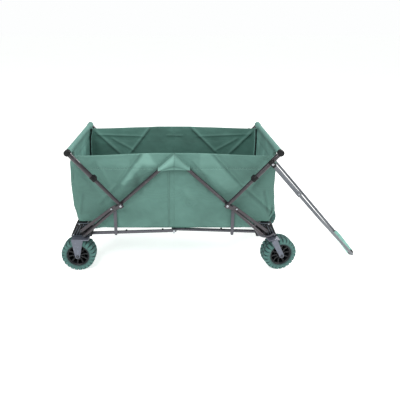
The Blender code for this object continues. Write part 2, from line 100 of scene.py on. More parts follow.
# The frame's planes, as distances from the middle plane.
LEG_Y = 0.2440                                     # the long legs' tubes
LEG_PIN_Y = outer_y("rear_leg_near")               # outer ends of the legs' pins
ARM_Y = outer_y("rear_arm_near") - 0.0105          # the upper arms' tubes, 21 mm thick
CRANK_PIN_Y = ARM_Y - 0.0083                       # outer ends of the crank plates' pins
STRUT_FACE_Y = outer_y("rear_strut_near") + 0.0005
SLEEVE_Y = outer_y("handle_sleeve_near") - 0.0110  # the handle's outer tubes, 11 mm inside their pins' ends
BLOCK_Y = outer_y("side_wall_near") + 0.0005       # the corner blocks' outer face
BLOCK_MIDDLE_Y = 0.2098                            # the middle of the corner blocks' end faces
RAIL_Y = {"rear": 0.2165, "front": 0.1995}         # the floor rails
ROD_Y = 0.2400                                     # the bent front rods

# The tub's cloth, fitted round the frame.
WALL_LOW_Y = outer_y("side_wall_near") - 0.0018    # the side walls inside the legs, low down
WALL_HIGH_Y = outer_y("side_wall_near") + 0.0055   # and near the rim
WALL_TOP = top_z("side_wall_near")
FLOOR_Z = top_z("rear_floor_board") + 0.0013       # the cloth floor, just above the floor boards
RAISED_Z = top_z("rear_casting_near") + 0.0045     # the tub's lower corners, just above the corner blocks
LEG_SLOPE = 0.916                                  # how steeply the long legs fall away from the apex

# Sizes that the cloth was cut to, length by height.
FLOOR_CUT = (0.401, 0.452)

# Spacing of the patterns in the materials, in metres.
THREAD = 0.0016         # canvas threads: really 0.6 mm apart, drawn coarser so that they show
SLUB = 1 / 260          # thick places in the canvas yarn, about every 4 mm
CLOUDING = 0.11         # faded patches in the canvas, about a hand wide
SCUFF = 1 / 85          # scuffs on the tubes, about 12 mm apart
ORANGE_PEEL = 1 / 520   # dimples in sprayed coatings, 2 mm apart: drawn coarser than real so that they show
MOTTLE = 0.03           # cloudy patches in moulded plastic
LUG_DUST = 0.012        # dusty patches on the tyres
GRIT = 1 / 700          # grains in the rubber, 1.4 mm: drawn coarser than real so that they show

CAMERA_SHIFT = (0.065, -0.10)


# Colours, nodes and materials.

def linear(code):
    """An sRGB hex colour as linear RGBA."""
    channels = [int(code[i:i + 2], 16) / 255 for i in (1, 3, 5)]
    return tuple(c / 12.92 if c <= 0.04045 else ((c + 0.055) / 1.055) ** 2.4 for c in channels) + (1.0,)


def scaled(colour, share, lift=0.0):
    """A linear colour made darker or lighter by a share, and lifted towards grey."""
    return tuple(min(1.0, c * share + lift) for c in colour[:3]) + (1.0,)


def add_node(tree, kind, links=None, **settings):
    """Adds a node with its settings; links gives each input a value or another node's output."""
    node = tree.nodes.new(kind)
    for key, value in settings.items():
        setattr(node, key, value)
    for socket, value in (links or {}).items():
        if isinstance(value, bpy.types.NodeSocket):
            tree.links.new(value, node.inputs[socket])
        else:
            node.inputs[socket].default_value = value
    return node


def start_material(name, **values):
    """A named material with its Principled shader's plain values set, its tree and its coordinates."""
    made = bpy.data.materials.new(name)
    made.use_nodes = True
    tree = made.node_tree
    shader = tree.nodes["Principled BSDF"]
    for key, value in values.items():
        shader.inputs[key.replace("_", " ")].default_value = value
    place = add_node(tree, "ShaderNodeTexCoord").outputs["Object"]
    return made, tree, shader, place


def patchy(tree, place, low, high, size, detail=4.0):
    """A colour that drifts between two tones in patches of about the given size in metres."""
    cloud = add_node(tree, "ShaderNodeTexNoise", {"Vector": place, "Scale": 1.0 / size, "Detail": detail})
    ramp = add_node(tree, "ShaderNodeMapRange",
                    {"Value": cloud.outputs["Fac"], "From Min": 0.32, "From Max": 0.68})
    mixed = add_node(tree, "ShaderNodeMix", {0: ramp.outputs[0], 6: low, 7: high}, data_type="RGBA")
    return mixed.outputs[2]


def woven_canvas(name, colour, dark_share, roughness=0.85):
    """Oxford-weave polyester: dull, with a faint sheen, fine crossed threads, slight random fading, and painted
    light and shade read from the mesh.
    """
    made, tree, shader, place = start_material(name, Roughness=roughness, Sheen_Weight=0.05,
                                                Specular_IOR_Level=0.35)
    tone = patchy(tree, place, scaled(colour, dark_share), colour, CLOUDING)
    threads = []
    for direction in ("X", "Y", "Z"):
        wave = add_node(tree, "ShaderNodeTexWave", {"Vector": place, "Scale": math.tau / (20 * THREAD)},
                        bands_direction=direction)
        threads.append(wave.outputs["Fac"])
    crossed = add_node(tree, "ShaderNodeMath", {0: threads[0], 1: threads[1]}, operation="ADD").outputs[0]
    crossed = add_node(tree, "ShaderNodeMath", {0: crossed, 1: threads[2]}, operation="ADD").outputs[0]
    slub = add_node(tree, "ShaderNodeTexNoise",
                    {"Vector": place, "Scale": 1 / SLUB, "Detail": 2.0}).outputs["Fac"]
    slubbed = add_node(tree, "ShaderNodeMath", {0: crossed, 1: slub}, operation="ADD").outputs[0]
    shade = add_node(tree, "ShaderNodeMapRange",
                     {"Value": slubbed, "From Max": 4.0, "To Min": 0.86, "To Max": 1.1})
    painted_light_and_mottle = add_node(tree, "ShaderNodeAttribute", attribute_name="painted_light_and_mottle").outputs["Fac"]
    tinted = add_node(tree, "ShaderNodeMix", {0: 1.0, 6: tone, 7: shade.outputs[0]}, data_type="RGBA",
                      blend_type="MULTIPLY").outputs[2]
    # Painted highlight: above nought, the colour is drawn towards a much paler copy.
    highlight_share = add_node(tree, "ShaderNodeMath", {0: painted_light_and_mottle, 1: 0.0}, operation="MAXIMUM").outputs[0]
    highlighted = add_node(tree, "ShaderNodeMix", {0: highlight_share, 6: tinted, 7: scaled(colour, 1.75, 0.05)},
                     data_type="RGBA").outputs[2]
    # Painted shade: below nought, the colour is darkened, down to a quarter.
    shade_share = add_node(tree, "ShaderNodeMapRange", {"Value": painted_light_and_mottle, "From Min": -1.0, "From Max": 0.0,
                                                   "To Min": 0.25}).outputs[0]
    shaded = add_node(tree, "ShaderNodeMix", {0: 1.0, 6: highlighted, 7: shade_share}, data_type="RGBA",
                       blend_type="MULTIPLY").outputs[2]
    tree.links.new(shaded, shader.inputs["Base Color"])
    bump = add_node(tree, "ShaderNodeBump", {"Height": slubbed, "Strength": 0.25, "Distance": 0.0004})
    tree.links.new(bump.outputs["Normal"], shader.inputs["Normal"])
    return made


def painted_tube(name, colour, metallic, roughness, coat):
    """Powder-coated or plated tube: sharp bright edge highlights, fine orange peel and light scuffs."""
    made, tree, shader, place = start_material(name, Metallic=metallic, Coat_Weight=coat, Coat_Roughness=0.12)
    worn = scaled(colour, 1.5, 0.02)
    scuffs = add_node(tree, "ShaderNodeTexNoise",
                      {"Vector": place, "Scale": 1 / SCUFF, "Detail": 6.0}).outputs["Fac"]
    rare = add_node(tree, "ShaderNodeMapRange",
                    {"Value": scuffs, "From Min": 0.6, "From Max": 0.75}).outputs[0]
    scuffed = add_node(tree, "ShaderNodeMix", {0: rare, 6: colour, 7: worn}, data_type="RGBA").outputs[2]
    tree.links.new(scuffed, shader.inputs["Base Color"])
    rough = add_node(tree, "ShaderNodeMapRange",
                     {"Value": scuffs, "To Min": roughness - 0.06, "To Max": roughness + 0.10}).outputs[0]
    tree.links.new(rough, shader.inputs["Roughness"])
    peel = add_node(tree, "ShaderNodeTexNoise", {"Vector": place, "Scale": 1 / ORANGE_PEEL}).outputs["Fac"]
    bump = add_node(tree, "ShaderNodeBump", {"Height": peel, "Strength": 0.12, "Distance": 0.0003})
    tree.links.new(bump.outputs["Normal"], shader.inputs["Normal"])
    return made


def moulded_plastic(name, colour, roughness, grain, specular=0.5):
    """Injection-moulded nylon or foam: even colour with a fine grained skin and faint wear."""
    made, tree, shader, place = start_material(name, Specular_IOR_Level=specular)
    pale = scaled(colour, 1.35, 0.006)
    tree.links.new(patchy(tree, place, colour, pale, MOTTLE), shader.inputs["Base Color"])
    skin = add_node(tree, "ShaderNodeTexVoronoi", {"Vector": place, "Scale": 1.0 / grain}).outputs["Distance"]
    rough = add_node(tree, "ShaderNodeMapRange",
                     {"Value": skin, "To Min": roughness - 0.05, "To Max": roughness + 0.08}).outputs[0]
    tree.links.new(rough, shader.inputs["Roughness"])
    bump = add_node(tree, "ShaderNodeBump", {"Height": skin, "Strength": 0.2, "Distance": 0.0004})
    tree.links.new(bump.outputs["Normal"], shader.inputs["Normal"])
    return made


def tread_rubber(name, colour, painted_shade_colour):
    """Coloured tyre rubber: matt and dusty on its lugs, with painted shade read from the mesh: dark down in the
    grooves and next to the hub.
    """
    made, tree, shader, place = start_material(name, Roughness=0.75)
    tone = patchy(tree, place, scaled(colour, 0.78), colour, LUG_DUST)
    groove_shade = add_node(tree, "ShaderNodeAttribute", attribute_name="painted_light_and_mottle").outputs["Fac"]
    mixed = add_node(tree, "ShaderNodeMix", {0: groove_shade, 6: tone, 7: painted_shade_colour}, data_type="RGBA")
    tree.links.new(mixed.outputs[2], shader.inputs["Base Color"])
    grit = add_node(tree, "ShaderNodeTexNoise", {"Vector": place, "Scale": 1 / GRIT}).outputs["Fac"]
    bump = add_node(tree, "ShaderNodeBump", {"Height": grit, "Strength": 0.3, "Distance": 0.0004})
    tree.links.new(bump.outputs["Normal"], shader.inputs["Normal"])
    return made


def make_materials(cloth, metal, wheels):
    """Every material by its short name, with what it gives the eye."""
    return {
        # Oxford-weave polyester, dyed: dull sage with crossed threads, random faded patches, and painted light and
        # shade: painted highlights and painted shade from each sheet's own values.
        "canvas": woven_canvas("sage_oxford_canvas", cloth.colour, 0.86),
        # The same cloth's coated back: a little smoother and greener, with the same weave, drawn darker as painted
        # shade inside the tub.
        "shaded_lining": woven_canvas("shaded_canvas_inside", cloth.shaded_inside_colour, 0.80, 0.70),
        # The coated back at the ends: drawn much paler, as painted light on the end walls' inside.
        "lit_end_lining": woven_canvas("lit_canvas_inside", cloth.lit_end_colour, 0.82, 0.70),
        # The sleeves' outer cloth, stretched over foam: the most even, and drawn palest, partly as painted light
        # on the bars' tops.
        "lit_sleeve_cloth": woven_canvas("lit_canvas_sleeve", cloth.lit_sleeve_colour, 0.90),
        # Twisted polyester sewing thread: pale, matt dashes.
        "thread": moulded_plastic("polyester_thread", linear("#86aaa0"), 0.8, 0.001),
        # Woven binding tape, dyed black: a dark matt line down each corner.
        "tape": woven_canvas("black_binding_tape", linear("#12201f"), 0.85),
        # Steel tube, powder coated in dark gunmetal: near black with a narrow bright highlight.
        "gunmetal_tube": painted_tube("gunmetal_powder_coat", metal.tube_colour, 0.35, 0.28, 0.35),
        # Steel tube, silver powder coat: mid grey with a broad soft highlight.
        "handle_tube": painted_tube("silver_powder_coat", metal.handle_colour, 0.25, 0.42, 0.1),
        # Flat-sprayed steel tube: dull grey with hardly any highlight.
        "rail_tube": painted_tube("grey_powder_coat", metal.rail_colour, 0.12, 0.52, 0.0),
        # Turned steel, blackened: dark, with soft metal reflections.
        "bolt_steel": painted_tube("blackened_bolt_steel", linear("#3d4045"), 0.6, 0.40, 0.0),
        # Pressed steel, zinc plated: small bright points.
        "zinc_steel": painted_tube("zinc_plated_steel", linear("#a9adb2"), 1.0, 0.32, 0.0),
        # Pressed steel sheet, satin painted: cool grey, with soft edges to its highlights.
        "grey_fork_steel": painted_tube("satin_grey_paint", metal.fork_colour, 0.35, 0.42, 0.2),
        # Glass-filled nylon, injection moulded: black and close-grained, with a faint gloss.
        "black_nylon": moulded_plastic("black_glass_nylon", linear("#08090b"), 0.45, 0.0012, 0.22),
        # The same nylon on the blocks' ribs, drawn grey: a painted highlight along the ribs.
        "rib_highlight_nylon": moulded_plastic("painted_rib_highlight_nylon", linear("#3b454d"), 0.35, 0.0012),
        # Polypropylene, injection moulded: blue-black with a slightly waxy gloss.
        "dark_hub_plastic": moulded_plastic("black_polypropylene", linear("#080c11"), 0.42, 0.0014, 0.3),
        # Coloured rubber, compression moulded: matt teal lugs, with painted shade in the grooves between them and
        # next to the hub.
        "green_rubber": tread_rubber("teal_tyre_rubber", wheels.rubber_colour, linear("#1a262b")),
        # Closed-cell EVA foam tube: soft, even and quite without gloss.
        "sage_foam": moulded_plastic("sage_eva_foam", metal.grip_colour, 0.75, 0.0018),
    }


MATERIALS = {}


def material(name):
    """A material by its short name; all of them are made when the first is asked for."""
    if not MATERIALS:
        scene = bpy.context.scene
        MATERIALS.update(make_materials(scene.wagon_cloth, scene.wagon_frame, scene.wagon_wheels))
    return MATERIALS[name]


# Mesh making.

def smoothstep(low, high, value):
    """0 below low, 1 above high, and a smooth rise between."""
    t = min(1.0, max(0.0, (value - low) / (high - low)))
    return t * t * (3 - 2 * t)


def blend_table(table, value):
    """A smooth curve through (key, result) pairs with rising keys."""
    if value <= table[0][0]:
        return table[0][1]
    for (low, a), (high, b) in zip(table, table[1:]):
        if value <= high:
            return a + (b - a) * smoothstep(low, high, value)
    return table[-1][1]


def face_outward(mesh):
    """Turns the faces of every closed shell in a mesh to look outward."""
    form = bmesh.new()
    form.from_mesh(mesh)
    bmesh.ops.recalc_face_normals(form, faces=form.faces[:])
    form.to_mesh(mesh)
    form.free()


def finish_piece(name, verts, faces, look, body, painted_light_and_mottle_values=None, smooth=True, closed=True):
    """Makes a mesh object from points in the frame, with its material, and has it ride on a body."""
    mesh = bpy.data.meshes.new(name)
    mesh.from_pydata([tuple(v) for v in verts], [], faces)
    if closed:
        face_outward(mesh)
    mesh.update()
    if smooth:
        mesh.shade_smooth()
    # Painted light and shade, with some random mottling, kept per point for the material to read.
    if painted_light_and_mottle_values is not None:
        mesh.attributes.new("painted_light_and_mottle", "FLOAT", "POINT").data.foreach_set("value", painted_light_and_mottle_values)
    obj = bpy.data.objects.new(name, mesh)
    bpy.context.scene.collection.objects.link(obj)
    mesh.materials.append(material(look))
    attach(obj, body)
    return obj


def grid_faces(rows, columns, closed=False):
    """Four-sided faces over a grid of points; closed joins the last column to the first."""
    faces = []
    for i in range(rows - 1):
        for j in range(columns if closed else columns - 1):
            k = (j + 1) % columns
            faces.append((i * columns + j, i * columns + k, (i + 1) * columns + k, (i + 1) * columns + j))
    return faces


def cloth_sheet(name, columns, rows, point, look, back, body, painted_light_and_mottle=None, flip=False, thickness=0.0011):
    """A thin sheet of cloth from a function of u and v, each from 0 to 1, with painted light and shade from a
    second function.
    """
    verts, painted_light_and_mottle_values = [], []
    for i in range(rows):
        for j in range(columns):
            u, v = j / (columns - 1), i / (rows - 1)
            verts.append(point(u, v))
            painted_light_and_mottle_values.append(painted_light_and_mottle(u, v) if painted_light_and_mottle else 0.0)
    faces = grid_faces(rows, columns)
    if flip:
        faces = [tuple(reversed(face)) for face in faces]
    obj = finish_piece(name, verts, faces, look, body, painted_light_and_mottle_values, closed=False)
    obj.data.materials.append(material(back))
    solid = obj.modifiers.new("cloth_thickness", "SOLIDIFY")
    solid.thickness = thickness
    solid.offset = 0.0
    solid.material_offset = 1
    return obj


def ring_frames(path):
    """A pair of unit vectors across a path at each of its points, turned as little as possible."""
    frames = []
    across = None
    for i, here in enumerate(path):
        ahead = (path[min(i + 1, len(path) - 1)] - path[max(i - 1, 0)]).normalized()
        if across is None:
            across = ahead.orthogonal().normalized()
        across = (across - ahead * across.dot(ahead)).normalized()
        frames.append((here, across, ahead.cross(across)))
    return frames


def tube_mesh(path, radii, sides=16):
    """Points and faces of a round tube with closed ends along a path, with a radius at each point."""
    path = [Vector(p) for p in path]
    verts = []
    for (here, a, b), radius in zip(ring_frames(path), radii):
        for i in range(sides):
            turn = math.tau * i / sides
            verts.append(here + (a * math.cos(turn) + b * math.sin(turn)) * radius)
    faces = grid_faces(len(path), sides, closed=True)
    faces.append(tuple(reversed(range(sides))))
    last = (len(path) - 1) * sides
    faces.append(tuple(range(last, last + sides)))
    return verts, faces


def tube_piece(name, path, radii, look, body, sides=16):
    """A round tube or collar along a path; radii is one radius, or one for each point."""
    if not hasattr(radii, "__len__"):
        radii = [radii] * len(path)
    verts, faces = tube_mesh(path, radii, sides)
    obj = finish_piece(name, verts, faces, look, body)
    obj.data.set_sharp_from_angle(angle=math.radians(50))
    return obj


def joined(parts):
    """Several (points, faces) pairs as one."""
    verts, faces = [], []
    for part_verts, part_faces in parts:
        start = len(verts)
        verts += part_verts
        faces += [tuple(i + start for i in face) for face in part_faces]
    return verts, faces


def softened_box(centre, x_axis, y_axis, z_axis, size, bevel):
    """Points and faces of a box with rounded edges, placed by three unit axes."""
    form = bmesh.new()
    bmesh.ops.create_cube(form, size=1.0)
    bmesh.ops.scale(form, vec=size, verts=form.verts)
    bmesh.ops.bevel(form, geom=form.edges[:], offset=bevel, segments=2, profile=0.6, affect="EDGES")
    form.verts.index_update()
    verts = [centre + x_axis * v.co.x + y_axis * v.co.y + z_axis * v.co.z for v in form.verts]
    faces = [tuple(v.index for v in face.verts) for face in form.faces]
    form.free()
    return verts, faces


def dome(centre, axis, radius, height, sides=16, rings=4):
    """Points and faces of a low round head, such as a rivet's, standing out along an axis."""
    a = axis.orthogonal().normalized()
    b = axis.cross(a)
    verts, faces = [], []
    for i in range(rings):
        lift = math.sin(math.pi / 2 * i / rings)
        spread = math.cos(math.pi / 2 * i / rings)
        for j in range(sides):
            turn = math.tau * j / sides
            spoke = a * math.cos(turn) + b * math.sin(turn)
            verts.append(centre + spoke * radius * spread + axis * height * lift)
    verts.append(centre + axis * height)
    faces += grid_faces(rings, sides, closed=True)
    last = (rings - 1) * sides
    faces += [(last + j, last + (j + 1) % sides, rings * sides) for j in range(sides)]
    faces.append(tuple(reversed(range(sides))))
    return verts, faces


def lathe(profile, centre, axis, sides):
    """Points and faces turned about an axis from a closed profile of (radius, distance along) points."""
    a = axis.orthogonal().normalized()
    b = axis.cross(a)
    verts = []
    for j in range(sides):
        turn = math.tau * j / sides
        spoke = a * math.cos(turn) + b * math.sin(turn)
        verts += [centre + spoke * radius + axis * far for radius, far in profile]
    count = len(profile)
    faces = []
    for j in range(sides):
        for i in range(count):
            k, m = (i + 1) % count, (j + 1) % sides
            faces.append((j * count + i, j * count + k, m * count + k, m * count + i))
    return verts, faces


# The tub's cloth.

# Folds in the side walls: from (x, z), to (x, z), half width, depth, all in metres from the middle.
NEAR_FOLDS = (
    (-0.150, 0.602, -0.256, 0.448, 0.008, 0.0085),
    (-0.260, 0.445, -0.355, 0.340, 0.012, 0.0060),
    (-0.365, 0.560, -0.300, 0.430, 0.016, 0.0035),
    (-0.075, 0.520, -0.235, 0.455, 0.009, 0.0040),
    (-0.180, 0.520, -0.150, 0.400, 0.016, 0.0035),
    (0.172, 0.602, 0.312, 0.445, 0.007, 0.0090),
    (0.312, 0.445, 0.478, 0.290, 0.009, 0.0085),
    (0.082, 0.560, 0.150, 0.480, 0.010, 0.0050),
    (0.150, 0.480, 0.175, 0.400, 0.010, 0.0035),
    (0.440, 0.560, 0.360, 0.420, 0.015, 0.0050),
    (-0.450, 0.560, -0.370, 0.420, 0.015, 0.0050),
    (0.030, 0.420, 0.085, 0.330, 0.022, 0.0030),
    (0.425, 0.420, 0.462, 0.262, 0.008, 0.0060),
    (-0.430, 0.400, -0.452, 0.275, 0.008, 0.0050),
)
FAR_FOLDS = (
    (-0.130, 0.612, -0.256, 0.448, 0.007, 0.0100),
    (0.090, 0.612, 0.247, 0.455, 0.007, 0.0100),
    (-0.430, 0.566, -0.160, 0.556, 0.005, 0.0050),
    (0.130, 0.556, 0.430, 0.568, 0.005, 0.0050),
    (-0.440, 0.585, -0.300, 0.450, 0.008, 0.0090),
    (0.440, 0.585, 0.310, 0.450, 0.008, 0.0090),
    (-0.040, 0.562, 0.050, 0.560, 0.004, 0.0050),
    (-0.350, 0.545, -0.220, 0.470, 0.007, 0.0050),
    (0.360, 0.545, 0.230, 0.470, 0.007, 0.0050),
)
# Areas of a wall with painted light (+) or painted shade (-): corner points in (x, z), then the tone.
NEAR_PAINTED_LIGHT = (
    (((-0.174, 0.546), (-0.136, 0.604), (-0.118, 0.604), (-0.084, 0.546)), 0.36),
    (((-0.182, 0.553), (-0.146, 0.543), (-0.231, 0.444), (-0.256, 0.452)), 0.32),
    (((-0.150, 0.604), (-0.254, 0.452), (-0.240, 0.440), (-0.060, 0.530), (-0.040, 0.604)), 0.07),
    (((-0.143, 0.540), (-0.118, 0.520), (-0.180, 0.440), (-0.226, 0.440)), -0.24),
    (((-0.168, 0.604), (-0.272, 0.455), (-0.256, 0.450), (-0.150, 0.604)), -0.16),
    (((0.172, 0.602), (0.312, 0.445), (0.262, 0.405), (0.118, 0.530), (0.120, 0.602)), 0.16),
    (((0.176, 0.604), (0.316, 0.447), (0.480, 0.296), (0.480, 0.604)), -0.12),
    (((0.176, 0.604), (0.316, 0.447), (0.335, 0.455), (0.200, 0.604)), -0.12),
    (((-0.070, 0.515), (-0.235, 0.440), (-0.262, 0.330), (-0.150, 0.420)), -0.20),
    (((0.070, 0.515), (0.150, 0.500), (0.250, 0.360), (0.110, 0.440)), -0.22),
    (((-0.480, 0.540), (-0.480, 0.280), (-0.300, 0.300), (-0.370, 0.450)), -0.14),
    (((0.330, 0.420), (0.480, 0.285), (0.480, 0.240), (0.260, 0.360)), -0.10),
    (((-0.480, 0.610), (-0.480, 0.541), (0.480, 0.541), (0.480, 0.610)), 0.07),
)
FAR_PAINTED_LIGHT = (
    (((-0.132, 0.620), (-0.254, 0.445), (0.249, 0.445), (0.092, 0.620)), -0.16),
    (((-0.045, 0.592), (0.000, 0.616), (0.045, 0.592), (0.000, 0.574)), 0.20),
    (((-0.050, 0.560), (0.000, 0.570), (0.050, 0.560), (0.000, 0.564)), -0.30),
    (((-0.480, 0.545), (-0.480, 0.440), (-0.255, 0.440), (-0.300, 0.480)), -0.24),
    (((0.480, 0.545), (0.480, 0.440), (0.250, 0.440), (0.300, 0.480)), -0.14),
    (((-0.480, 0.620), (-0.480, 0.560), (0.480, 0.560), (0.480, 0.620)), 0.05),
)
# How far each end of the tub stands out from the middle at each height.
END_SHAPE = {
    "rear": ((0.2545, 0.458), (0.275, 0.466), (0.345, 0.479), (0.450, 0.4815), (0.545, 0.479),
             (0.600, 0.469)),
    "front": ((0.2545, 0.464), (0.310, 0.4835), (0.371, 0.477), (0.430, 0.470), (0.520, 0.4705),
              (0.600, 0.468)),
}


def rim_height(x, side):
    """Height of a side wall's rim, which sags from the apex towards the ends."""
    if side == "near":
        return WALL_TOP + 0.0025 - 0.0125 * smoothstep(0.06, 0.44, abs(x))
    peak = 0.0035 * (1 - smoothstep(0.08, 0.17, abs(x)))
    return WALL_TOP + 0.0095 + peak - 0.0075 * smoothstep(0.15, 0.44, abs(x))


def hem_height():
    """Height of the rim hem's lower stitching."""
    return bpy.context.scene.wagon_cloth.hem_height


def wall_foot(x):
    """Height of a side wall's lower edge, which rises over the corner blocks."""
    return FLOOR_Z + (RAISED_Z - FLOOR_Z) * smoothstep(0.4100, 0.4165, abs(x))


def fold_parts(x, z, folds):
    """Each fold's depth and width here, how far it is from its line (below is positive) and its strength."""
    for x0, z0, x1, z1, width, depth in folds:
        run = math.hypot(x1 - x0, z1 - z0)
        t = ((x - x0) * (x1 - x0) + (z - z0) * (z1 - z0)) / (run * run)
        away = ((x - x0) * (z1 - z0) - (z - z0) * (x1 - x0)) / run
        ends = smoothstep(-0.10, 0.10, t) * (1.0 - smoothstep(0.80, 1.12, t))
        if ends > 0.0 and abs(away) < 6 * width:
            yield depth, width, away * math.copysign(1, x1 - x0), ends


def folds_at(x, z, folds):
    """How far the folds pull a wall in here: each is a sharp valley with soft shoulders."""
    return sum(depth * ends * math.exp(-math.hypot(away, 0.0015) / width)
               for depth, width, away, ends in fold_parts(x, z, folds))


def inside_area(x, z, corners):
    """1 well inside a convex area, 0 well outside it, with a slightly wandering soft edge."""
    x += 0.006 * noise.noise(Vector((x * 22, z * 22, 1.0)))
    z += 0.006 * noise.noise(Vector((x * 22, z * 22, 8.0)))
    turn = sum(x0 * z1 - x1 * z0 for (x0, z0), (x1, z1) in zip(corners, corners[1:] + corners[:1]))
    nearest = 1.0
    for (x0, z0), (x1, z1) in zip(corners, corners[1:] + corners[:1]):
        away = ((x1 - x0) * (z - z0) - (z1 - z0) * (x - x0)) / math.hypot(x1 - x0, z1 - z0)
        nearest = min(nearest, away * math.copysign(1, turn))
    return smoothstep(-0.007, 0.009, nearest)


def wall_tone(x, z, side):
    """Painted light and shade on a wall: painted highlights above its folds, painted shade in their valleys,
    painted lit and shaded areas, a painted shadow under the hem, a painted highlight along the rim, and random
    mottling.
    """
    folds, areas = (NEAR_FOLDS, NEAR_PAINTED_LIGHT) if side == "near" else (FAR_FOLDS, FAR_PAINTED_LIGHT)
    tone = 0.0
    # Painted highlight on each fold's ridge and painted shade in its valley.
    for depth, width, away, ends in fold_parts(x, z, folds):
        ridge = math.exp(-((away + width * 0.9) / (0.8 * width)) ** 2)
        valley = math.exp(-((away - width * 0.35) / (0.9 * width)) ** 2)
        tone += ends * depth * (24 * ridge - 44 * valley)
    tone += sum(level * inside_area(x, z, corners) for corners, level in areas)
    # Painted shadow under the hem.
    tone -= 0.22 * math.exp(-((z - hem_height() + 0.0005) / 0.0022) ** 2)
    # Painted highlight along the rim.
    tone += 0.35 * smoothstep(rim_height(x, side) - 0.006, rim_height(x, side), z)
    tone += 0.10 * noise.noise(Vector((x * 12, z * 12, 5.0 + SIDES[side])))
    return max(-0.8, min(0.8, tone))


def ripple(x, z, seed):
    """Shallow handling wrinkles in a cloth wall."""
    broad = noise.noise(Vector((x * 9.0, z * 13.0, seed)))
    fine = noise.noise(Vector((x * 31.0 + z * 14.0, z * 40.0, seed + 7.0)))
    return 0.0026 * broad + 0.0009 * fine


def wall_distance(x, z, side):
    """How far a side wall stands from the wagon's middle plane."""
    crease = bpy.context.scene.wagon_cloth.crease
    low = WALL_LOW_Y - 0.0018 * smoothstep(0.350, 0.372, abs(x)) * (1 - smoothstep(0.251, 0.275, z))
    flat = low + (WALL_HIGH_Y - WALL_LOW_Y) * smoothstep(0.345, 0.460, z)
    folds = NEAR_FOLDS if side == "near" else FAR_FOLDS
    calm = smoothstep(0.0, 0.03, rim_height(x, side) - z + 0.006)
    inward = folds_at(x, z, folds) + ripple(x, z, 3.0 * SIDES[side]) + 0.0022
    hem = 0.0012 * smoothstep(-0.003, 0.003, z - hem_height())
    corner = 0.010 * smoothstep(0.445, 0.480, abs(x))
    return flat - max(0.0, inward) * crease * calm - 0.0012 + hem - corner


def end_reach(z, end):
    """How far an end wall stands from the tub's middle at a height."""
    return blend_table(END_SHAPE[end], z)


def wall_point(x_share, z_share, end, side):
    """A point of half of a side wall; x_share runs from the middle seam to the end."""
    guess = ENDS[end] * HALF * x_share
    low, high = wall_foot(guess), rim_height(guess, side)
    z = low + (high - low) * z_share
    x = ENDS[end] * end_reach(z, end) * x_share
    return Vector((MIDDLE_X + x, SIDES[side] * wall_distance(x, z, side), z))


def squash_to_end(obj, end):
    """Gives a piece of a side wall its own copy of its mesh."""
    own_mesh(obj)


def stitch_row(points, outward, length=0.0030, gap=0.0016, radius=0.0005):
    """Short raised stitches along a line of points."""
    parts = []
    run, walked = 0.0, 0.0
    for start, end in zip(points, points[1:]):
        step = (end - start).length
        while walked < run + step:
            here = start.lerp(end, (walked - run) / step)
            along = (end - start).normalized()
            across = along.cross(outward).normalized()
            half = along * length / 2
            verts = [here - half, here + across * radius, here + outward * radius, here - across * radius,
                     here - outward * radius, here + half]
            faces = [(0, 2, 1), (0, 3, 2), (0, 4, 3), (0, 1, 4), (5, 1, 2), (5, 2, 3), (5, 3, 4), (5, 4, 1)]
            parts.append((verts, faces))
            walked += length + gap
        run += step
    return joined(parts)


def cover_foot(x):
    """Lower edge of the cover over the frame's middle joint."""
    return 0.5240 + 0.0035 * math.cos(math.pi * x / 0.14) + 0.0018 * x / 0.07


# Operators.

class WAGON_OT_paint_frame(bpy.types.Operator):
    """Give every piece of the metal and moulded frame its own finish"""
    bl_idname = "wagon.paint_frame"
    bl_label = "Paint Frame"

    def execute(self, context):
        for name, node in frame["nodes"].items():
            look = SLOTS[name]
            if look in ("sage_canvas", "sage_foam"):
                continue
            if "handle" in name:
                look = "handle_tube"
            if "_rail_" in name or "_stay_" in name:
                look = "rail_tube"
            if "_axle_" in name or "_shaft" in name:
                look = "bolt_steel"
            node.data.materials.clear()
            node.data.materials.append(material(look))
        return {"FINISHED"}


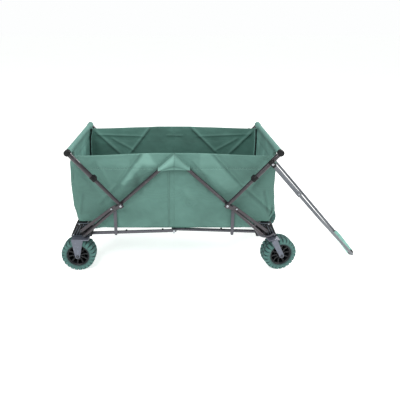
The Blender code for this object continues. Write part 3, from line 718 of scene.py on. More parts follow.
class WAGON_OT_sew_side_walls(bpy.types.Operator):
    """Sew the two long cloth walls, each in halves that meet at the middle seam"""
    bl_idname = "wagon.sew_side_walls"
    bl_label = "Sew Side Walls"

    def execute(self, context):
        cloth = context.scene.wagon_cloth
        for side, out in SIDES.items():
            for end, front in ENDS.items():
                wall = cloth_sheet(
                    f"cloth_side_{end}_{side}", 150, 120, lambda u, v: wall_point(u, v, end, side), "canvas",
                    "shaded_lining", end + "_panel", lambda u, v: self.tone(u, v, end, side), front * out > 0)
                if end == "rear":
                    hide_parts("side_wall_" + side)
                stitches = self.stitches(end, side, cloth.hem_height)
                seam = self.middle_seam(end, side) if (end == "rear") == (side == "near") else None
                trims = [stitches] + ([seam] if seam else [])
                for piece in [wall] + trims:
                    squash_to_end(piece, end)
        return {"FINISHED"}

    def tone(self, u, v, end, side):
        place = wall_point(u, v, end, side)
        return wall_tone(place.x - MIDDLE_X, place.z, side)

    def stitches(self, end, side, height):
        """The hem's stitching, in two rows."""
        parts = []
        out = Vector((0, SIDES[side], 0))
        for drop in (0.0, 0.0055):
            line = []
            for i in range(60):
                x = ENDS[end] * (0.004 + (HALF - 0.014) * i / 59)
                z = height - drop
                y = SIDES[side] * (wall_distance(x, z, side) + 0.0006)
                line.append(Vector((MIDDLE_X + x, y, z)))
            parts.append(stitch_row(line, out))
        verts, faces = joined(parts)
        return finish_piece(f"hem_stitches_{end}_{side}", verts, faces, "thread", end + "_panel")

    def middle_seam(self, end, side):
        """A narrow felled seam down the wall, just beside its middle."""
        def strip(u, v):
            x = ENDS[end] * (0.0195 + 0.009 * u)
            low, high = wall_foot(x) + 0.001, hem_height() - 0.004
            z = low + (high - low) * v
            lift = 0.0011 if 0.1 < u < 0.9 else 0.0002
            y = SIDES[side] * (wall_distance(x, z, side) + lift)
            return Vector((MIDDLE_X + x, y, z))
        # The seam's edges are drawn darker: painted shade along its folds.
        return cloth_sheet(f"middle_seam_{side}", 7, 60, strip, "canvas", "canvas", end + "_panel",
                           lambda u, v: 0.05 if 0.2 < u < 0.8 else -0.45, thickness=0.0007)


class WAGON_OT_sew_flaps(bpy.types.Operator):
    """Sew the covers that are stretched over the frame's middle joint on each side"""
    bl_idname = "wagon.sew_flaps"
    bl_label = "Sew Joint Covers"

    def execute(self, context):
        for side, out in SIDES.items():
            for end, front in ENDS.items():
                flap = cloth_sheet(
                    f"joint_cover_{end}_{side}", 46, 46, lambda u, v: self.point(u, v, side, front), "canvas",
                    "canvas", end + "_panel", lambda u, v: self.tone(u, v, front), front * out > 0)
                squash_to_end(flap, end)
        return {"FINISHED"}

    def point(self, u, v, side, front):
        """v runs up the cover's face, over the leg's round top, then back to the wall."""
        x = front * 0.0735 * u
        leg = APEX.z - (LEG_SLOPE * abs(x))
        low = cover_foot(x)
        wrap_y, wrap_z = 0.0102, 0.0131
        if v < 0.45:
            t = v / 0.45
            z = low + (max(leg, low + 0.002) - low) * t
            y = LEG_Y + wrap_y - 0.0010 * (1 - t)
        elif v < 0.75:
            turn = math.pi / 2 * (v - 0.45) / 0.30
            z = max(leg, low + 0.002) + wrap_z * math.sin(turn)
            y = LEG_Y + wrap_y * math.cos(turn)
        else:
            t = (v - 0.75) / 0.25
            crest = max(leg, low + 0.002) + wrap_z
            z = crest + (min(rim_height(x, side) - 0.0008, crest + 0.010) - crest) * t
            y = LEG_Y + (wall_distance(x, z, side) + 0.0010 - LEG_Y) * smoothstep(-0.2, 0.9, t)
        return Vector((MIDDLE_X + x, SIDES[side] * y, z))

    def tone(self, u, v, front):
        # Painted light and shade: a lit face, paler on the rear cover, a painted highlight and a painted shadow
        # line at the hem, and painted shade towards the middle, low down.
        lit = 0.66 if front < 0 else 0.30
        face = lit * smoothstep(0.10, 0.4, v) * (1.0 - smoothstep(0.62, 0.80, v))
        hem = 0.30 * math.exp(-((v - 0.02) / 0.04) ** 2) - 0.40 * math.exp(-((v - 0.13) / 0.025) ** 2)
        return face + hem - 0.25 * math.exp(-((u - 0.01) / 0.04) ** 2) * (1 - v)


class WAGON_OT_sew_end_walls(bpy.types.Operator):
    """Sew the two short cloth walls, with their lower edges turned in under the tub"""
    bl_idname = "wagon.sew_end_walls"
    bl_label = "Sew End Walls"

    def execute(self, context):
        for end, front in ENDS.items():
            wall = cloth_sheet(f"cloth_end_{end}", 60, 72, lambda u, v: self.point(u, v, end), "canvas",
                               "lit_end_lining", end + "_panel", lambda u, v: self.tone(u, v, end), front < 0)
            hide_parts(end + "_wall")
        return {"FINISHED"}

    def tone(self, u, v, end):
        """Soft cloudy wear, and painted shade: darker towards the top and a dark line under the bar's sleeve."""
        broad = 0.30 * noise.noise(Vector((u * 5, v * 6, ENDS[end])))
        cloud = broad + 0.2 * noise.noise(Vector((u * 14, v * 9, 3)))
        return cloud - 0.45 * smoothstep(0.93, 0.99, v) - 0.25 * math.exp(-((v - 0.86) / 0.012) ** 2)

    def point(self, u, v, end):
        """v runs in along the tub's floor, then up the wall to its bar; both edges lap round the corners."""
        share = 2 * u - 1
        side = "far" if share > 0 else "near"
        y = 0.2335 * share
        corner = smoothstep(0.165, 0.187, abs(y))
        foot = FLOOR_Z + 0.0012 + (RAISED_Z - FLOOR_Z) * corner
        turn_share = 0.2
        if v < turn_share:
            inner = 0.398 - 0.064 * corner
            outer = end_reach(RAISED_Z, end) - 0.006 * (1 - corner)
            t = v / turn_share
            x, z = inner + (outer - inner) * t, foot + 0.010 * t ** 4 * (1 - corner)
            z -= (RAISED_Z - FLOOR_Z) * corner * (1 - smoothstep(0.0, 0.16, t))
            return Vector((MIDDLE_X + ENDS[end] * x, 0.2240 * max(-1.0, min(1.0, share / 0.95)), z))
        t = (v - turn_share) / (1 - turn_share)
        start = foot + 0.010 * (1 - corner)
        z = start + (0.607 - start) * t
        x = end_reach(z, end) - 0.006 * (1 - corner) * (1 - t)
        sag = (1 - share * share) * math.sin(math.pi * t)
        x += 0.004 * sag + 1.4 * ripple(y, z, 11.0 + ENDS[end]) * sag
        lap = 0.95
        if abs(share) > lap:
            x -= 0.016 * (abs(share) - lap) / (1 - lap)
        rim = min(z, rim_height(x, side) - 0.004)
        reach = wall_distance(ENDS[end] * x, rim, side) - 0.0016
        return Vector((MIDDLE_X + ENDS[end] * x, reach * max(-1.0, min(1.0, share / lap)), z))


class WAGON_OT_lay_floor(bpy.types.Operator):
    """Lay the tub's stiffened cloth floor, in two halves that fold with the rails"""
    bl_idname = "wagon.lay_floor"
    bl_label = "Lay Floor"

    def execute(self, context):
        for end, front in ENDS.items():
            def floor(u, v):
                x = FLOOR_CUT[0] * u
                reach = 0.2262 - 0.039 * smoothstep(0.325, 0.345, x)
                y = reach * (2 * v - 1)
                lift = RAISED_Z - FLOOR_Z
                raised = lift * smoothstep(0.350, 0.368, x) * smoothstep(0.165, 0.187, abs(y))
                quilt = 0.0012 * noise.noise(Vector((x * 14, y * 14, front)))
                return Vector((MIDDLE_X + front * x, y, FLOOR_Z + raised + max(-0.0004, quilt)))
            half = cloth_sheet(f"cloth_floor_{end}", 80, 60, floor, "shaded_lining", "canvas", end + "_rails",
                               None, front < 0)
            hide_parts(end + "_floor_board")
        return {"FINISHED"}


class WAGON_OT_pad_end_bars(bpy.types.Operator):
    """Wrap each end bar in its padded cloth sleeve"""
    bl_idname = "wagon.pad_end_bars"
    bl_label = "Pad End Bars"

    def execute(self, context):
        for end in ENDS:
            low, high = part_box(end + "_top_bar")
            centre = (low + high) / 2
            near, far = 0.2490, 0.2845
            path, radii = [], []
            for i in range(81):
                y = -near + (near + far) * i / 80
                soft = 1.0 + 0.035 * noise.noise(Vector((y * 30, 2.0, ENDS[end])))
                radius = 0.0128 + 0.0029 * smoothstep(0.225, 0.252, y)
                close = 1.0 - 0.15 * smoothstep(0.236, near, -y) - 0.30 * smoothstep(0.2815, far, y)
                path.append(Vector((centre.x, y, centre.z)))
                radii.append(radius * soft * close)
            sleeve = tube_piece("bar_sleeve_" + end, path, radii, "lit_sleeve_cloth", end + "_panel", 24)
            inward = -ENDS[end]
            line = [Vector((centre.x + inward * 0.0115, near * 0.95 * (2 * i / 40 - 1), centre.z - 0.0068))
                    for i in range(41)]
            verts, faces = stitch_row(line, Vector((inward, 0, -0.5)).normalized())
            finish_piece("bar_sleeve_stitches_" + end, verts, faces, "thread", end + "_panel")
        return {"FINISHED"}


class WAGON_OT_bind_corners(bpy.types.Operator):
    """Bind the tub's four upright corner seams with dark tape on the inside"""
    bl_idname = "wagon.bind_corners"
    bl_label = "Bind Corners"

    def execute(self, context):
        for end, front in ENDS.items():
            for side, out in SIDES.items():
                def tape(u, v):
                    z = 0.262 + (0.603 - 0.262) * v
                    wide = u - 0.5
                    x = end_reach(z, end) - 0.0095 - 0.0070 * wide
                    y = 0.2135 + 0.0070 * smoothstep(0.35, 0.47, z) + 0.0070 * wide
                    pull = 0.0010 * math.cos(math.pi * wide)
                    return Vector((MIDDLE_X + front * (x - pull), out * (y - pull), z))
                strip = cloth_sheet(f"corner_tape_{end}_{side}", 7, 60, tape, "tape", "tape", end + "_panel",
                                    None, front * out > 0, 0.0009)
        return {"FINISHED"}


class WAGON_OT_fit_arm_trim(bpy.types.Operator):
    """Fit the ferrules and the moulded sliding clips on the four upper arms"""
    bl_idname = "wagon.fit_arm_trim"
    bl_label = "Fit Arm Trim"

    def execute(self, context):
        for end, front in ENDS.items():
            elbow, corner = JOINTS[end + "_elbow"], JOINTS[end + "_top_corner"]
            along = (corner - elbow).normalized()
            across = Vector((0, 1, 0)).cross(along) * front
            run = (corner - elbow).length
            for side, out in SIDES.items():
                outward = Vector((0, out, 0))
                line = elbow + outward * ARM_Y
                collar = [line + along * (run - back) for back in (0.048, 0.046, 0.008, 0.006)]
                self.ferrule(end, side, collar)
                self.clip(end, side, line + along * 0.1797, along, across, outward)
        return {"FINISHED"}

    def ferrule(self, end, side, path):
        """A thin collar where an arm enters its corner cap."""
        tube_piece(f"arm_ferrule_{end}_{side}", path, (0.0104, 0.0109, 0.0109, 0.0106), "gunmetal_tube",
                   end + "_arms")

    def clip(self, end, side, centre, along, across, outward):
        """A sleeve with a thumb tab under it and a raised pad outside."""
        verts, faces = joined([
            tube_mesh([centre + along * s for s in (-0.015, -0.013, 0.012, 0.014)],
                      (0.0114, 0.0122, 0.0126, 0.0116)),
            softened_box(centre - across * 0.0125, along, across, outward, (0.019, 0.009, 0.013), 0.002),
            softened_box(centre + outward * 0.0118, along, across, outward, (0.014, 0.009, 0.005), 0.0015)])
        clip = finish_piece(f"arm_clip_{end}_{side}", verts, faces, "black_nylon", end + "_arms")
        clip.data.set_sharp_from_angle(angle=math.radians(40))


class WAGON_OT_set_rivets(bpy.types.Operator):
    """Set the bright rivets at the elbows, cranks and struts, and the elbows' brackets"""
    bl_idname = "wagon.set_rivets"
    bl_label = "Set Rivets"

    def execute(self, context):
        for end, front in ENDS.items():
            elbow, strut = JOINTS[end + "_elbow"], JOINTS[end + "_strut_pivot"]
            crank = Vector((elbow.x + front * 0.0465, 0, elbow.z - 0.0232))
            for side, out in SIDES.items():
                outward = Vector((0, out, 0))
                name = f"{end}_{side}"
                verts, faces = dome(elbow + outward * LEG_PIN_Y, outward, 0.0062, 0.0026)
                finish_piece("elbow_rivet_" + name, verts, faces, "zinc_steel", end + "_legs")
                self.elbow_bracket(name, elbow + outward * (LEG_PIN_Y - 0.0027), outward, end, front)
                verts, faces = dome(crank + outward * CRANK_PIN_Y, outward, 0.0048, 0.0024)
                finish_piece("crank_rivet_" + name, verts, faces, "zinc_steel", end + "_arms")
                verts, faces = dome(strut + outward * STRUT_FACE_Y, outward, 0.0052, 0.0022)
                finish_piece("strut_rivet_" + name, verts, faces, "bolt_steel", end + "_base")
        return {"FINISHED"}

    def elbow_bracket(self, name, base, outward, end, front):
        """A pressed washer and strap that hold the arm's foot to the leg, and the block behind them."""
        toward = Vector((front * 0.894, 0, -0.447))
        across = toward.cross(outward)
        verts, faces = joined([
            tube_mesh([base + outward * d for d in (-0.0004, 0.0022, 0.0027)], (0.0118, 0.0118, 0.0104), 20),
            softened_box(base + toward * 0.0130 + outward * 0.0008, toward, across, outward,
                         (0.026, 0.017, 0.0034), 0.0010),
            softened_box(base + toward * 0.0150 - outward * 0.0095, toward, across, outward,
                         (0.020, 0.0195, 0.0170), 0.0020)])
        bracket = finish_piece("elbow_bracket_" + name, verts, faces, "gunmetal_tube", end + "_arms")
        bracket.data.set_sharp_from_angle(angle=math.radians(40))


class WAGON_OT_cap_rails(bpy.types.Operator):
    """Fit the small black feet on the rail tops that the floor is laced to, and the rails' hinge pins"""
    bl_idname = "wagon.cap_rails"
    bl_label = "Cap Rails"

    def execute(self, context):
        for end in ENDS:
            for side in SIDES:
                self.feet(end, side)
        for side in SIDES:
            self.hinge_pin(side)
        return {"FINISHED"}

    def feet(self, end, side):
        """Two moulded feet on a rail, which climbs gently towards the wagon's middle."""
        rail_length, rail_climb = 0.408, 0.0135
        parts = []
        for x in (0.0555, 0.2320):
            rise = (rail_length - x) / rail_length * rail_climb
            top = Vector((MIDDLE_X + ENDS[end] * x, SIDES[side] * RAIL_Y[end],
                          JOINTS[end + "_rail_pivot"].z + rise + 0.0078))
            parts.append(tube_mesh([top + Vector((0, 0, dz)) for dz in (-0.002, 0.0, 0.0035, 0.0048)],
                                   (0.0052, 0.0050, 0.0046, 0.0030), 12))
        verts, faces = joined(parts)
        finish_piece(f"rail_caps_{end}_{side}", verts, faces, "black_nylon", end + "_rails")

    def hinge_pin(self, side):
        """The pin that hangs below the rails' centre hinge, with its rivet."""
        out = SIDES[side]
        middle = Vector((MIDDLE_X, out * RAIL_Y["rear"], JOINTS["rear_rail_pivot"].z + 0.0135))
        verts, faces = joined([
            tube_mesh([middle + Vector((0, 0, dz)) for dz in (-0.006, -0.0125, -0.0150, -0.0180)],
                      (0.0042, 0.0042, 0.0030, 0.0012), 12),
            dome(middle + Vector((0, out * 0.0088, 0)), Vector((0, out, 0)), 0.0062, 0.0026)])
        finish_piece(f"rail_hinge_pin_{side}", verts, faces, "zinc_steel", "rear_rails")


class WAGON_OT_bend_front_rods(bpy.types.Operator):
    """Bend the rods that run from the front legs' feet round under the corner blocks"""
    bl_idname = "wagon.bend_front_rods"
    bl_label = "Bend Front Rods"

    def execute(self, context):
        hub = JOINTS["front_hub"]
        bends = [(-0.040, 0.0285), (-0.029, 0.0135), (-0.0145, -0.0040), (0.0010, -0.0112),
                 (0.0170, -0.0118), (0.0320, -0.0096), (0.0440, -0.0025), (0.0540, 0.0060)]
        for side, out in SIDES.items():
            corners = [Vector((hub.x + x, out * ROD_Y, hub.z + z)) for x, z in bends]
            path = [a.lerp(b, i / 4) for a, b in zip(corners, corners[1:]) for i in range(4)] + corners[-1:]
            for _ in range(3):
                between = [(a + b * 2 + c) / 4 for a, b, c in zip(path, path[1:], path[2:])]
                path = [path[0]] + between + [path[-1]]
            tube_piece("front_stay_" + side, path, 0.0052, "rail_tube", "front_base", 14)
        return {"FINISHED"}


class WAGON_OT_fit_handle_saddles(bpy.types.Operator):
    """Fit the moulded saddles and bright rivets where the handle's tubes turn on the arms"""
    bl_idname = "wagon.fit_handle_saddles"
    bl_label = "Fit Handle Saddles"

    def execute(self, context):
        along = AXES["handle_slide"]
        for side, out in SIDES.items():
            outward = Vector((0, out, 0))
            centre = JOINTS["handle_tilt"] + outward * SLEEVE_Y
            verts, faces = joined([
                tube_mesh([centre + along * s for s in (-0.0165, -0.0155, 0.016, 0.017)],
                          (0.0102, 0.0114, 0.0114, 0.0104)),
                softened_box(centre - along * 0.012, along, outward.cross(along), outward,
                             (0.010, 0.019, 0.014), 0.002)])
            saddle = finish_piece("handle_saddle_" + side, verts, faces, "black_nylon", "handle_sleeves")
            saddle.data.set_sharp_from_angle(angle=math.radians(40))
            verts, faces = dome(centre + outward * 0.0110, outward, 0.0058, 0.0030)
            finish_piece("handle_rivet_" + side, verts, faces, "zinc_steel", "handle_sleeves")
        return {"FINISHED"}


class WAGON_OT_strap_forks(bpy.types.Operator):
    """Lay the broad pressed straps over both cheeks of each castor's fork"""
    bl_idname = "wagon.strap_forks"
    bl_label = "Strap Forks"

    def execute(self, context):
        for side in SIDES:
            swivel, spin = JOINTS["castor_swivel_" + side], JOINTS["front_wheel_spin_" + side]
            trail = Vector((spin.x - swivel.x, spin.y - swivel.y, 0)).normalized()
            axis = Vector((0, 0, 1)).cross(trail)
            top = swivel - Vector((0, 0, 0.0050)) - trail * 0.001
            down = (spin - top).normalized()
            outline = self.outline((spin - top).length)
            verts, faces = joined([self.strap(top, down, axis, face, outline) for face in (-1, 1)])
            finish_piece("fork_straps_" + side, verts, faces, "grey_fork_steel", "castor_" + side,
                         smooth=False)
        return {"FINISHED"}

    def outline(self, length):
        """A strap's edge, as (distance down, distance across): square at the top, round at the axle."""
        half_width, foot_radius = 0.0150, 0.0112
        edge = [(-0.0005, -half_width), (-0.0005, half_width)]
        for i in range(9):
            turn = math.pi / 2 - math.pi * i / 8
            edge.append((length + foot_radius * math.cos(turn), foot_radius * math.sin(turn)))
        return edge

    def strap(self, top, down, axis, face, outline):
        """A flat strap on one cheek of the fork."""
        across = down.cross(axis)
        verts = [top + down * along + across * wide + axis * face * depth
                 for depth in (0.0456, 0.0470) for along, wide in outline]
        count = len(outline)
        faces = [(i, (i + 1) % count, (i + 1) % count + count, i + count) for i in range(count)]
        faces += [tuple(reversed(range(count))), tuple(range(count, 2 * count))]
        return verts, faces


class WAGON_OT_rib_corner_blocks(bpy.types.Operator):
    """Raise the moulded ribs and bright screws on the four corner blocks"""
    bl_idname = "wagon.rib_corner_blocks"
    bl_label = "Rib Corner Blocks"

    def execute(self, context):
        for end, front in ENDS.items():
            for side, out in SIDES.items():
                low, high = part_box(f"{end}_casting_{side}")
                outward = Vector((0, out, 0))
                parts = self.face_ribs(front, outward, low.z)
                parts += self.borders(front, outward, low.z, high.z)
                parts += self.end_ribs(front, outward, low.z, high.z)
                verts, faces = joined(parts)
                # The ribs are drawn in grey nylon: a painted highlight along them.
                ribs = finish_piece(f"block_ribs_{end}_{side}", verts, faces, "rib_highlight_nylon", end + "_base")
                ribs.data.set_sharp_from_angle(angle=math.radians(40))
                seats = [Vector((MIDDLE_X + front * x, out * (BLOCK_Y + 0.0002), z))
                         for x, z in ((0.4560, 0.2420), (0.3900, 0.2380), (0.4880, 0.1850))]
                verts, faces = joined([dome(seat, outward, 0.0040, 0.0018) for seat in seats])
                finish_piece(f"block_screws_{end}_{side}", verts, faces, "zinc_steel", end + "_base")
        return {"FINISHED"}

    def face_ribs(self, front, outward, low):
        """Five leaning ribs on a block's outer face, from its far end in: their lengths and their feet."""
        lean = Vector((-front * 0.50, 0, 1)).normalized()
        flat = outward.cross(lean)
        sizes = ((0.050, 0.0), (0.058, 0.0), (0.058, 0.0), (0.034, 0.026), (0.024, 0.034))
        ribs = []
        for i, (length, rise) in enumerate(sizes):
            x = MIDDLE_X + front * (0.4870 - 0.0125 * i)
            foot = Vector((x, outward.y * BLOCK_Y, low + 0.008 + rise))
            ribs.append(softened_box(foot + lean * length / 2 + outward * 0.0008, lean, flat, outward,
                                     (length, 0.0032, 0.0032), 0.0006))
        return ribs

    def borders(self, front, outward, low, high):
        """The raised borders along a block's lower and upper edges."""
        borders = []
        for z, start, stop in ((low + 0.004, 0.406, 0.494), (high - 0.003, 0.382, 0.464)):
            centre = Vector((MIDDLE_X + front * (start + stop) / 2, outward.y * (BLOCK_Y + 0.0008), z))
            borders.append(softened_box(centre, Vector((1, 0, 0)), Vector((0, 0, 1)), outward,
                                        (stop - start, 0.0040, 0.0032), 0.0006))
        return borders

    def end_ribs(self, front, outward, low, high):
        """Four ribs up the slope of a block's end."""
        foot = Vector((MIDDLE_X + front * 0.4995, outward.y * BLOCK_MIDDLE_Y, low + 0.002))
        head = Vector((MIDDLE_X + front * 0.4685, outward.y * BLOCK_MIDDLE_Y, high - 0.002))
        rise = (head - foot).normalized()
        return [softened_box((foot + head) / 2 + outward * shift, rise, outward, rise.cross(outward),
                             ((head - foot).length, 0.0030, 0.0030), 0.0006)
                for shift in (-0.015, -0.005, 0.005, 0.015)]


class WAGON_OT_mould_tyres(bpy.types.Operator):
    """Mould the four knobbly tyres"""
    bl_idname = "wagon.mould_tyres"
    bl_label = "Mould Tyres"

    def execute(self, context):
        wheels = context.scene.wagon_wheels
        for prefix in ("rear", "front"):
            for side in SIDES:
                spin = f"{prefix}_wheel_spin_{side}"
                centre, axis = JOINTS[spin], AXES[spin]
                verts, faces, painted_light_and_mottle_values = self.tread(centre, axis, wheels.lugs, wheels.lug_depth)
                tyre = finish_piece(f"tyre_{prefix}_{side}", verts, faces, "green_rubber",
                                    f"{prefix}_wheel_{side}", painted_light_and_mottle_values)
                tyre.data.set_sharp_from_angle(angle=math.radians(42))
                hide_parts(f"{prefix}_tyre_{side}")
        return {"FINISHED"}

    def tread(self, centre, axis, lugs, depth):
        """A ring whose outline is cut by lugs that wrap over both shoulders, staggered left and right."""
        upward = Vector((0, 0, 1))
        forward = axis.cross(upward).normalized()
        shoulder = [(0.0542, 0.0340), (0.0620, 0.0382), (0.0715, 0.0388), (0.0765, 0.0372), (0.0802, 0.0335),
                    (0.0822, 0.0275), (0.0830, 0.0180), (0.0830, 0.0110), (0.0830, 0.0070)]
        across = [(radius, -far) for radius, far in shoulder] + [(0.0830, 0.0)] + shoulder[::-1]
        per_lug = 8
        count = lugs * per_lug
        verts, painted_light_and_mottle_values = [], []
        for i in range(count):
            turn = math.tau * i / count
            spoke = forward * math.cos(turn) + upward * math.sin(turn)
            for radius, far in across:
                stagger = 0.25 if abs(far) < 0.009 else 0.5 if far > 0 else 0.0
                phase = (i / per_lug + stagger) % 1.0
                gap = smoothstep(0.62, 0.70, phase) * (1 - smoothstep(0.94, 1.0, phase))
                ditch = 1.0 if 0.0065 < abs(far) < 0.0115 else 0.0
                outer = smoothstep(0.066, 0.0745, radius)
                cut = max(gap, 0.75 * ditch) * outer
                sink = cut * depth
                sidecut = 0.0022 * gap * outer * smoothstep(0.030, 0.0385, abs(far)) * math.copysign(1, far)
                verts.append(centre + spoke * (radius - sink) + axis * (far - sidecut))
                # Painted shade: the inner part next to the hub, and the grooves, are drawn darker.
                bead_shade = 0.75 * (1 - smoothstep(0.0560, 0.0640, radius))
                painted_light_and_mottle_values.append(min(1.0, cut * 0.9 + bead_shade))
        width = len(across)
        faces = [(i * width + j, (i + 1) % count * width + j, (i + 1) % count * width + (j + 1) % width,
                  i * width + (j + 1) % width) for i in range(count) for j in range(width)]
        return verts, faces, painted_light_and_mottle_values


class WAGON_OT_mould_hubs(bpy.types.Operator):
    """Mould the four spoked wheel hubs"""
    bl_idname = "wagon.mould_hubs"
    bl_label = "Mould Hubs"

    def execute(self, context):
        wheels = context.scene.wagon_wheels
        for prefix in ("rear", "front"):
            for side in SIDES:
                spin = f"{prefix}_wheel_spin_{side}"
                centre, axis = JOINTS[spin], AXES[spin]
                parts = self.turned_parts(centre, axis)
                upward = Vector((0, 0, 1))
                forward = axis.cross(upward).normalized()
                for i in range(wheels.spokes):
                    turn = math.tau * (i + 0.25) / wheels.spokes
                    spoke = forward * math.cos(turn) + upward * math.sin(turn)
                    parts.append(self.spoke(centre, spoke, axis))
                verts, faces = joined(parts)
                hub = finish_piece(f"hub_{prefix}_{side}", verts, faces, "dark_hub_plastic",
                                   f"{prefix}_wheel_{side}")
                hub.data.set_sharp_from_angle(angle=math.radians(35))
                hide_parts(f"{prefix}_hub_{side}")
        return {"FINISHED"}

    def turned_parts(self, centre, axis):
        """The rim, the web, the boss and the stiffening ring between them."""
        rim = [(0.0537, -0.0330), (0.0537, 0.0330), (0.0505, 0.0345), (0.0468, 0.0310),
               (0.0455, 0.0060), (0.0455, -0.0060), (0.0468, -0.0310), (0.0505, -0.0345)]
        web = [(0.0464, -0.0035), (0.0464, 0.0035), (0.0130, 0.0045), (0.0130, -0.0045)]
        boss = [(0.0045, -0.0385), (0.0045, 0.0385), (0.0125, 0.0385), (0.0148, 0.0350),
                (0.0158, 0.0), (0.0148, -0.0350), (0.0125, -0.0385)]
        ring = [(0.0290, -0.0200), (0.0290, 0.0200), (0.0270, 0.0200), (0.0270, -0.0200)]
        return [lathe(profile, centre, axis, sides)
                for profile, sides in ((rim, 56), (web, 40), (boss, 32), (ring, 40))]

    def spoke(self, centre, spoke, axis):
        """A rib from the boss to the rim, waisted between them."""
        tangent = spoke.cross(axis)
        verts = []
        stations = ((0.0135, 0.0034, 0.0300), (0.0300, 0.0027, 0.0235), (0.0468, 0.0036, 0.0280))
        for radius, width, depth in stations:
            for t, a in ((-1, -1), (1, -1), (1, 1), (-1, 1)):
                verts.append(centre + spoke * radius + tangent * width * t + axis * depth * a)
        faces = grid_faces(3, 4, closed=True) + [(3, 2, 1, 0), (8, 9, 10, 11)]
        return verts, faces


class WAGON_OT_dress_handle(bpy.types.Operator):
    """Fit the handle's foam grip, its end caps and the collars on the sliding tubes"""
    bl_idname = "wagon.dress_handle"
    bl_label = "Dress Handle"

    def execute(self, context):
        low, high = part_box("handle_grip")
        centre = (low + high) / 2
        half = (high.y - low.y) / 2
        path, radii = [], []
        for i in range(81):
            share = 2 * i / 80 - 1
            finger = 0.0004 * math.cos(share * 40)
            close = 1.0 - 0.22 * smoothstep(0.965, 1.0, abs(share))
            path.append(Vector((centre.x, half * share, centre.z)))
            radii.append((0.0146 + 0.0006 * (1 - share * share) + finger) * close)
        grip = tube_piece("foam_grip", path, radii, "sage_foam", "handle_loop", 28)
        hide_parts("handle_grip")
        for side, out in SIDES.items():
            cap = [Vector((centre.x, out * (half + past), centre.z)) for past in (-0.001, 0, 0.008, 0.0095)]
            tube_piece("grip_cap_" + side, cap, (0.0128, 0.0137, 0.0130, 0.0100), "black_nylon",
                       "handle_loop", 24)
            along, outward = AXES["handle_slide"], Vector((0, out, 0))
            start = JOINTS["handle_tilt"] + outward * SLEEVE_Y
            collar = [start + along * s for s in (0.182, 0.184, 0.203, 0.2055)]
            tube_piece("slide_collar_" + side, collar, (0.0100, 0.0104, 0.0104, 0.0088), "handle_tube",
                       "handle_sleeves", 20)
            verts, faces = dome(start + along * 0.192 + outward * 0.0099, outward, 0.0034, 0.0018)
            finish_piece("slide_button_" + side, verts, faces, "zinc_steel", "handle_sleeves")
        return {"FINISHED"}


class WAGON_OT_set_stage(bpy.types.Operator):
    """Set the pale floor, the soft studio lights and the camera"""
    bl_idname = "wagon.set_stage"
    bl_label = "Set Stage"

    def execute(self, context):
        scene, stage = context.scene, context.scene.wagon_stage
        scene.view_settings.view_transform = "Standard"
        self.lay_floor(scene, stage)
        self.light_world(scene, stage)
        self.hang_lights(scene, stage)
        self.place_camera(scene, stage)
        return {"FINISHED"}

    def lay_floor(self, scene, stage):
        """A wide white painted floor, lit from within a little so that shadows stay pale."""
        mesh = bpy.data.meshes.new("studio_floor")
        reach = 40.0
        corners = [(-reach, -reach, 0), (reach, -reach, 0), (reach, reach, 0), (-reach, reach, 0)]
        mesh.from_pydata(corners, [], [(0, 1, 2, 3)])
        floor = bpy.data.objects.new("studio_floor", mesh)
        floor.location.z = CAD_LOW.z - 0.0004
        scene.collection.objects.link(floor)
        paint, tree, shader, place = start_material("pale_studio_floor", Roughness=0.9,
                                                    Emission_Strength=stage.floor_glow)
        shader.inputs["Emission Color"].default_value = linear("#fbfdfc")
        white = patchy(tree, place, linear("#f6f6f5"), linear("#f8f8f7"), 1.5)
        tree.links.new(white, shader.inputs["Base Color"])
        mesh.materials.append(paint)

    def light_world(self, scene, stage):
        """A near-white backdrop, which lights the wagon less brightly than it looks."""
        world = bpy.data.worlds.new("studio")
        scene.world = world
        world.use_nodes = True
        tree = world.node_tree
        backdrop = tree.nodes["Background"]
        backdrop.inputs["Color"].default_value = linear("#fdfefe")
        seen = add_node(tree, "ShaderNodeLightPath").outputs["Is Camera Ray"]
        strength = add_node(tree, "ShaderNodeMapRange", {"Value": seen, "To Min": stage.fill, "To Max": 1.0})
        tree.links.new(strength.outputs[0], backdrop.inputs["Strength"])

    def hang_lights(self, scene, stage):
        """Three softboxes aimed at the tub: the key, one behind and one beside."""
        for name, place, aim, width, power in (
                ("key_softbox", (-1.6, -2.6, 3.2), (MIDDLE_X, 0, 0.3), 2.2, stage.key),
                ("rim_softbox", (1.6, 2.4, 2.6), (MIDDLE_X, 0, 0.4), 1.6, stage.key * 0.5),
                ("side_softbox", (2.8, -1.4, 1.6), (MIDDLE_X, 0, 0.3), 1.4, stage.key * 0.35)):
            lamp = bpy.data.lights.new(name, "AREA")
            lamp.shape = "SQUARE"
            lamp.size = width
            lamp.energy = power
            lit = bpy.data.objects.new(name, lamp)
            lit.location = Vector(place)
            lit.rotation_euler = (Vector(aim) - Vector(place)).to_track_quat("-Z", "Y").to_euler()
            scene.collection.objects.link(lit)

    def place_camera(self, scene, stage):
        """A camera square on to the near side, looking down into the tub."""
        camera = bpy.data.cameras.new("studio_camera")
        camera.lens = stage.lens
        camera.sensor_width = 36.0
        camera.shift_x, camera.shift_y = CAMERA_SHIFT
        camera.clip_end = 120.0
        shot = bpy.data.objects.new("studio_camera", camera)
        shot.location = (MIDDLE_X, -stage.distance, stage.height)
        shot.rotation_euler = (math.radians(90) - stage.look_down, 0, 0)
        scene.collection.objects.link(shot)
        scene.camera = shot


# Settings, panel and registration.

def colour_setting(name, description, code):
    """A colour that the user can change, with its default given as sRGB hex."""
    return bpy.props.FloatVectorProperty(name=name, description=description, default=linear(code), size=4,
                                         subtype="COLOR", min=0.0, max=1.0)


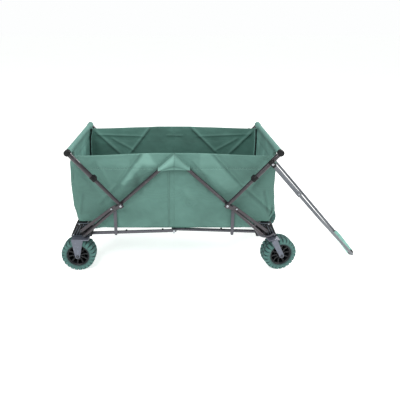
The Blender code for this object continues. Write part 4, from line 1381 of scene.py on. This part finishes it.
class WagonCloth(bpy.types.PropertyGroup):
    colour: colour_setting("Canvas", "Outside of the tub", "#547970")
    # Drawn darker than the canvas: painted shade inside the tub.
    shaded_inside_colour: colour_setting("Lining", "Inside of the long walls and the floor", "#527c72")
    # Drawn much paler than the canvas: painted light on the end walls' inside.
    lit_end_colour: colour_setting("End Lining", "Inside of the end walls", "#7fb3a8")
    # Drawn paler than the canvas: partly painted light on the sleeves' tops.
    lit_sleeve_colour: colour_setting("Sleeves", "Sleeves round the end bars", "#6f9d93")
    hem_height: bpy.props.FloatProperty(name="Hem Height", description="Height of the hem's stitching",
                                        default=0.5290, unit="LENGTH")
    crease: bpy.props.FloatProperty(name="Creases", description="Strength of the folds in the walls",
                                    default=1.0, subtype="FACTOR")


class WagonFrame(bpy.types.PropertyGroup):
    tube_colour: colour_setting("Frame", "Legs, arms and struts", "#302b30")
    handle_colour: colour_setting("Handle", "Handle tubes", "#585c62")
    rail_colour: colour_setting("Rails", "Floor rails and their stays", "#4c4c53")
    fork_colour: colour_setting("Forks", "Wheel forks", "#5b606c")
    grip_colour: colour_setting("Grip", "Foam grip on the handle", "#7faea3")


class WagonWheels(bpy.types.PropertyGroup):
    rubber_colour: colour_setting("Tyres", "Tyre rubber", "#45706a")
    lugs: bpy.props.IntProperty(name="Lugs", description="Lugs on each shoulder of a tyre", default=24)
    lug_depth: bpy.props.FloatProperty(name="Lug Depth", description="Depth of the tread", default=0.0042,
                                       unit="LENGTH")
    spokes: bpy.props.IntProperty(name="Spokes", description="Spokes in each hub", default=10)


class WagonStage(bpy.types.PropertyGroup):
    fill: bpy.props.FloatProperty(name="Fill", description="Strength of the light from all round",
                                  default=0.42)
    key: bpy.props.FloatProperty(name="Key", description="Power of the main softbox", default=115.0,
                                 unit="POWER")
    floor_glow: bpy.props.FloatProperty(name="Floor Glow", description="Light given off by the white floor",
                                        default=0.62)
    lens: bpy.props.FloatProperty(name="Lens", description="Focal length", default=37.40, unit="CAMERA")
    distance: bpy.props.FloatProperty(name="Distance", description="Camera's distance from the middle plane",
                                      default=2.035, unit="LENGTH")
    height: bpy.props.FloatProperty(name="Height", description="Camera's height", default=1.1628,
                                    unit="LENGTH")
    look_down: bpy.props.FloatProperty(name="Look Down", description="Camera's angle below level",
                                       default=math.radians(18.24), unit="ROTATION")


class WAGON_PT_panel(bpy.types.Panel):
    """Lists the wagon's settings and steps"""
    bl_idname = "WAGON_PT_panel"
    bl_label = "Folding Camp Wagon"
    bl_space_type = "VIEW_3D"
    bl_region_type = "UI"
    bl_category = "Wagon"

    def draw(self, context):
        for group in GROUPS:
            settings = getattr(context.scene, group)
            box = self.layout.box()
            for key in settings.__annotations__:
                box.prop(settings, key)
        for operator in OPERATORS:
            self.layout.operator(operator.bl_idname)


OPERATORS = (WAGON_OT_paint_frame, WAGON_OT_sew_side_walls, WAGON_OT_sew_flaps, WAGON_OT_sew_end_walls,
             WAGON_OT_lay_floor, WAGON_OT_pad_end_bars, WAGON_OT_bind_corners, WAGON_OT_fit_arm_trim,
             WAGON_OT_set_rivets, WAGON_OT_cap_rails, WAGON_OT_bend_front_rods, WAGON_OT_fit_handle_saddles,
             WAGON_OT_strap_forks, WAGON_OT_rib_corner_blocks, WAGON_OT_mould_tyres, WAGON_OT_mould_hubs,
             WAGON_OT_dress_handle, WAGON_OT_set_stage)
GROUPS = {"wagon_cloth": WagonCloth, "wagon_frame": WagonFrame, "wagon_wheels": WagonWheels,
          "wagon_stage": WagonStage}


def register():
    for group in GROUPS.values():
        bpy.utils.register_class(group)
    for operator in OPERATORS:
        bpy.utils.register_class(operator)
    bpy.utils.register_class(WAGON_PT_panel)
    for name, group in GROUPS.items():
        setattr(bpy.types.Scene, name, bpy.props.PointerProperty(type=group))


def unregister():
    for name in GROUPS:
        delattr(bpy.types.Scene, name)
    bpy.utils.unregister_class(WAGON_PT_panel)
    for cls in (*reversed(OPERATORS), *reversed(GROUPS.values())):
        bpy.utils.unregister_class(cls)


def main():
    """Builds the whole model."""
    register()
    for operator in OPERATORS:
        family, name = operator.bl_idname.split(".")
        getattr(getattr(bpy.ops, family), name)()


if __name__ == "__main__":
    main()
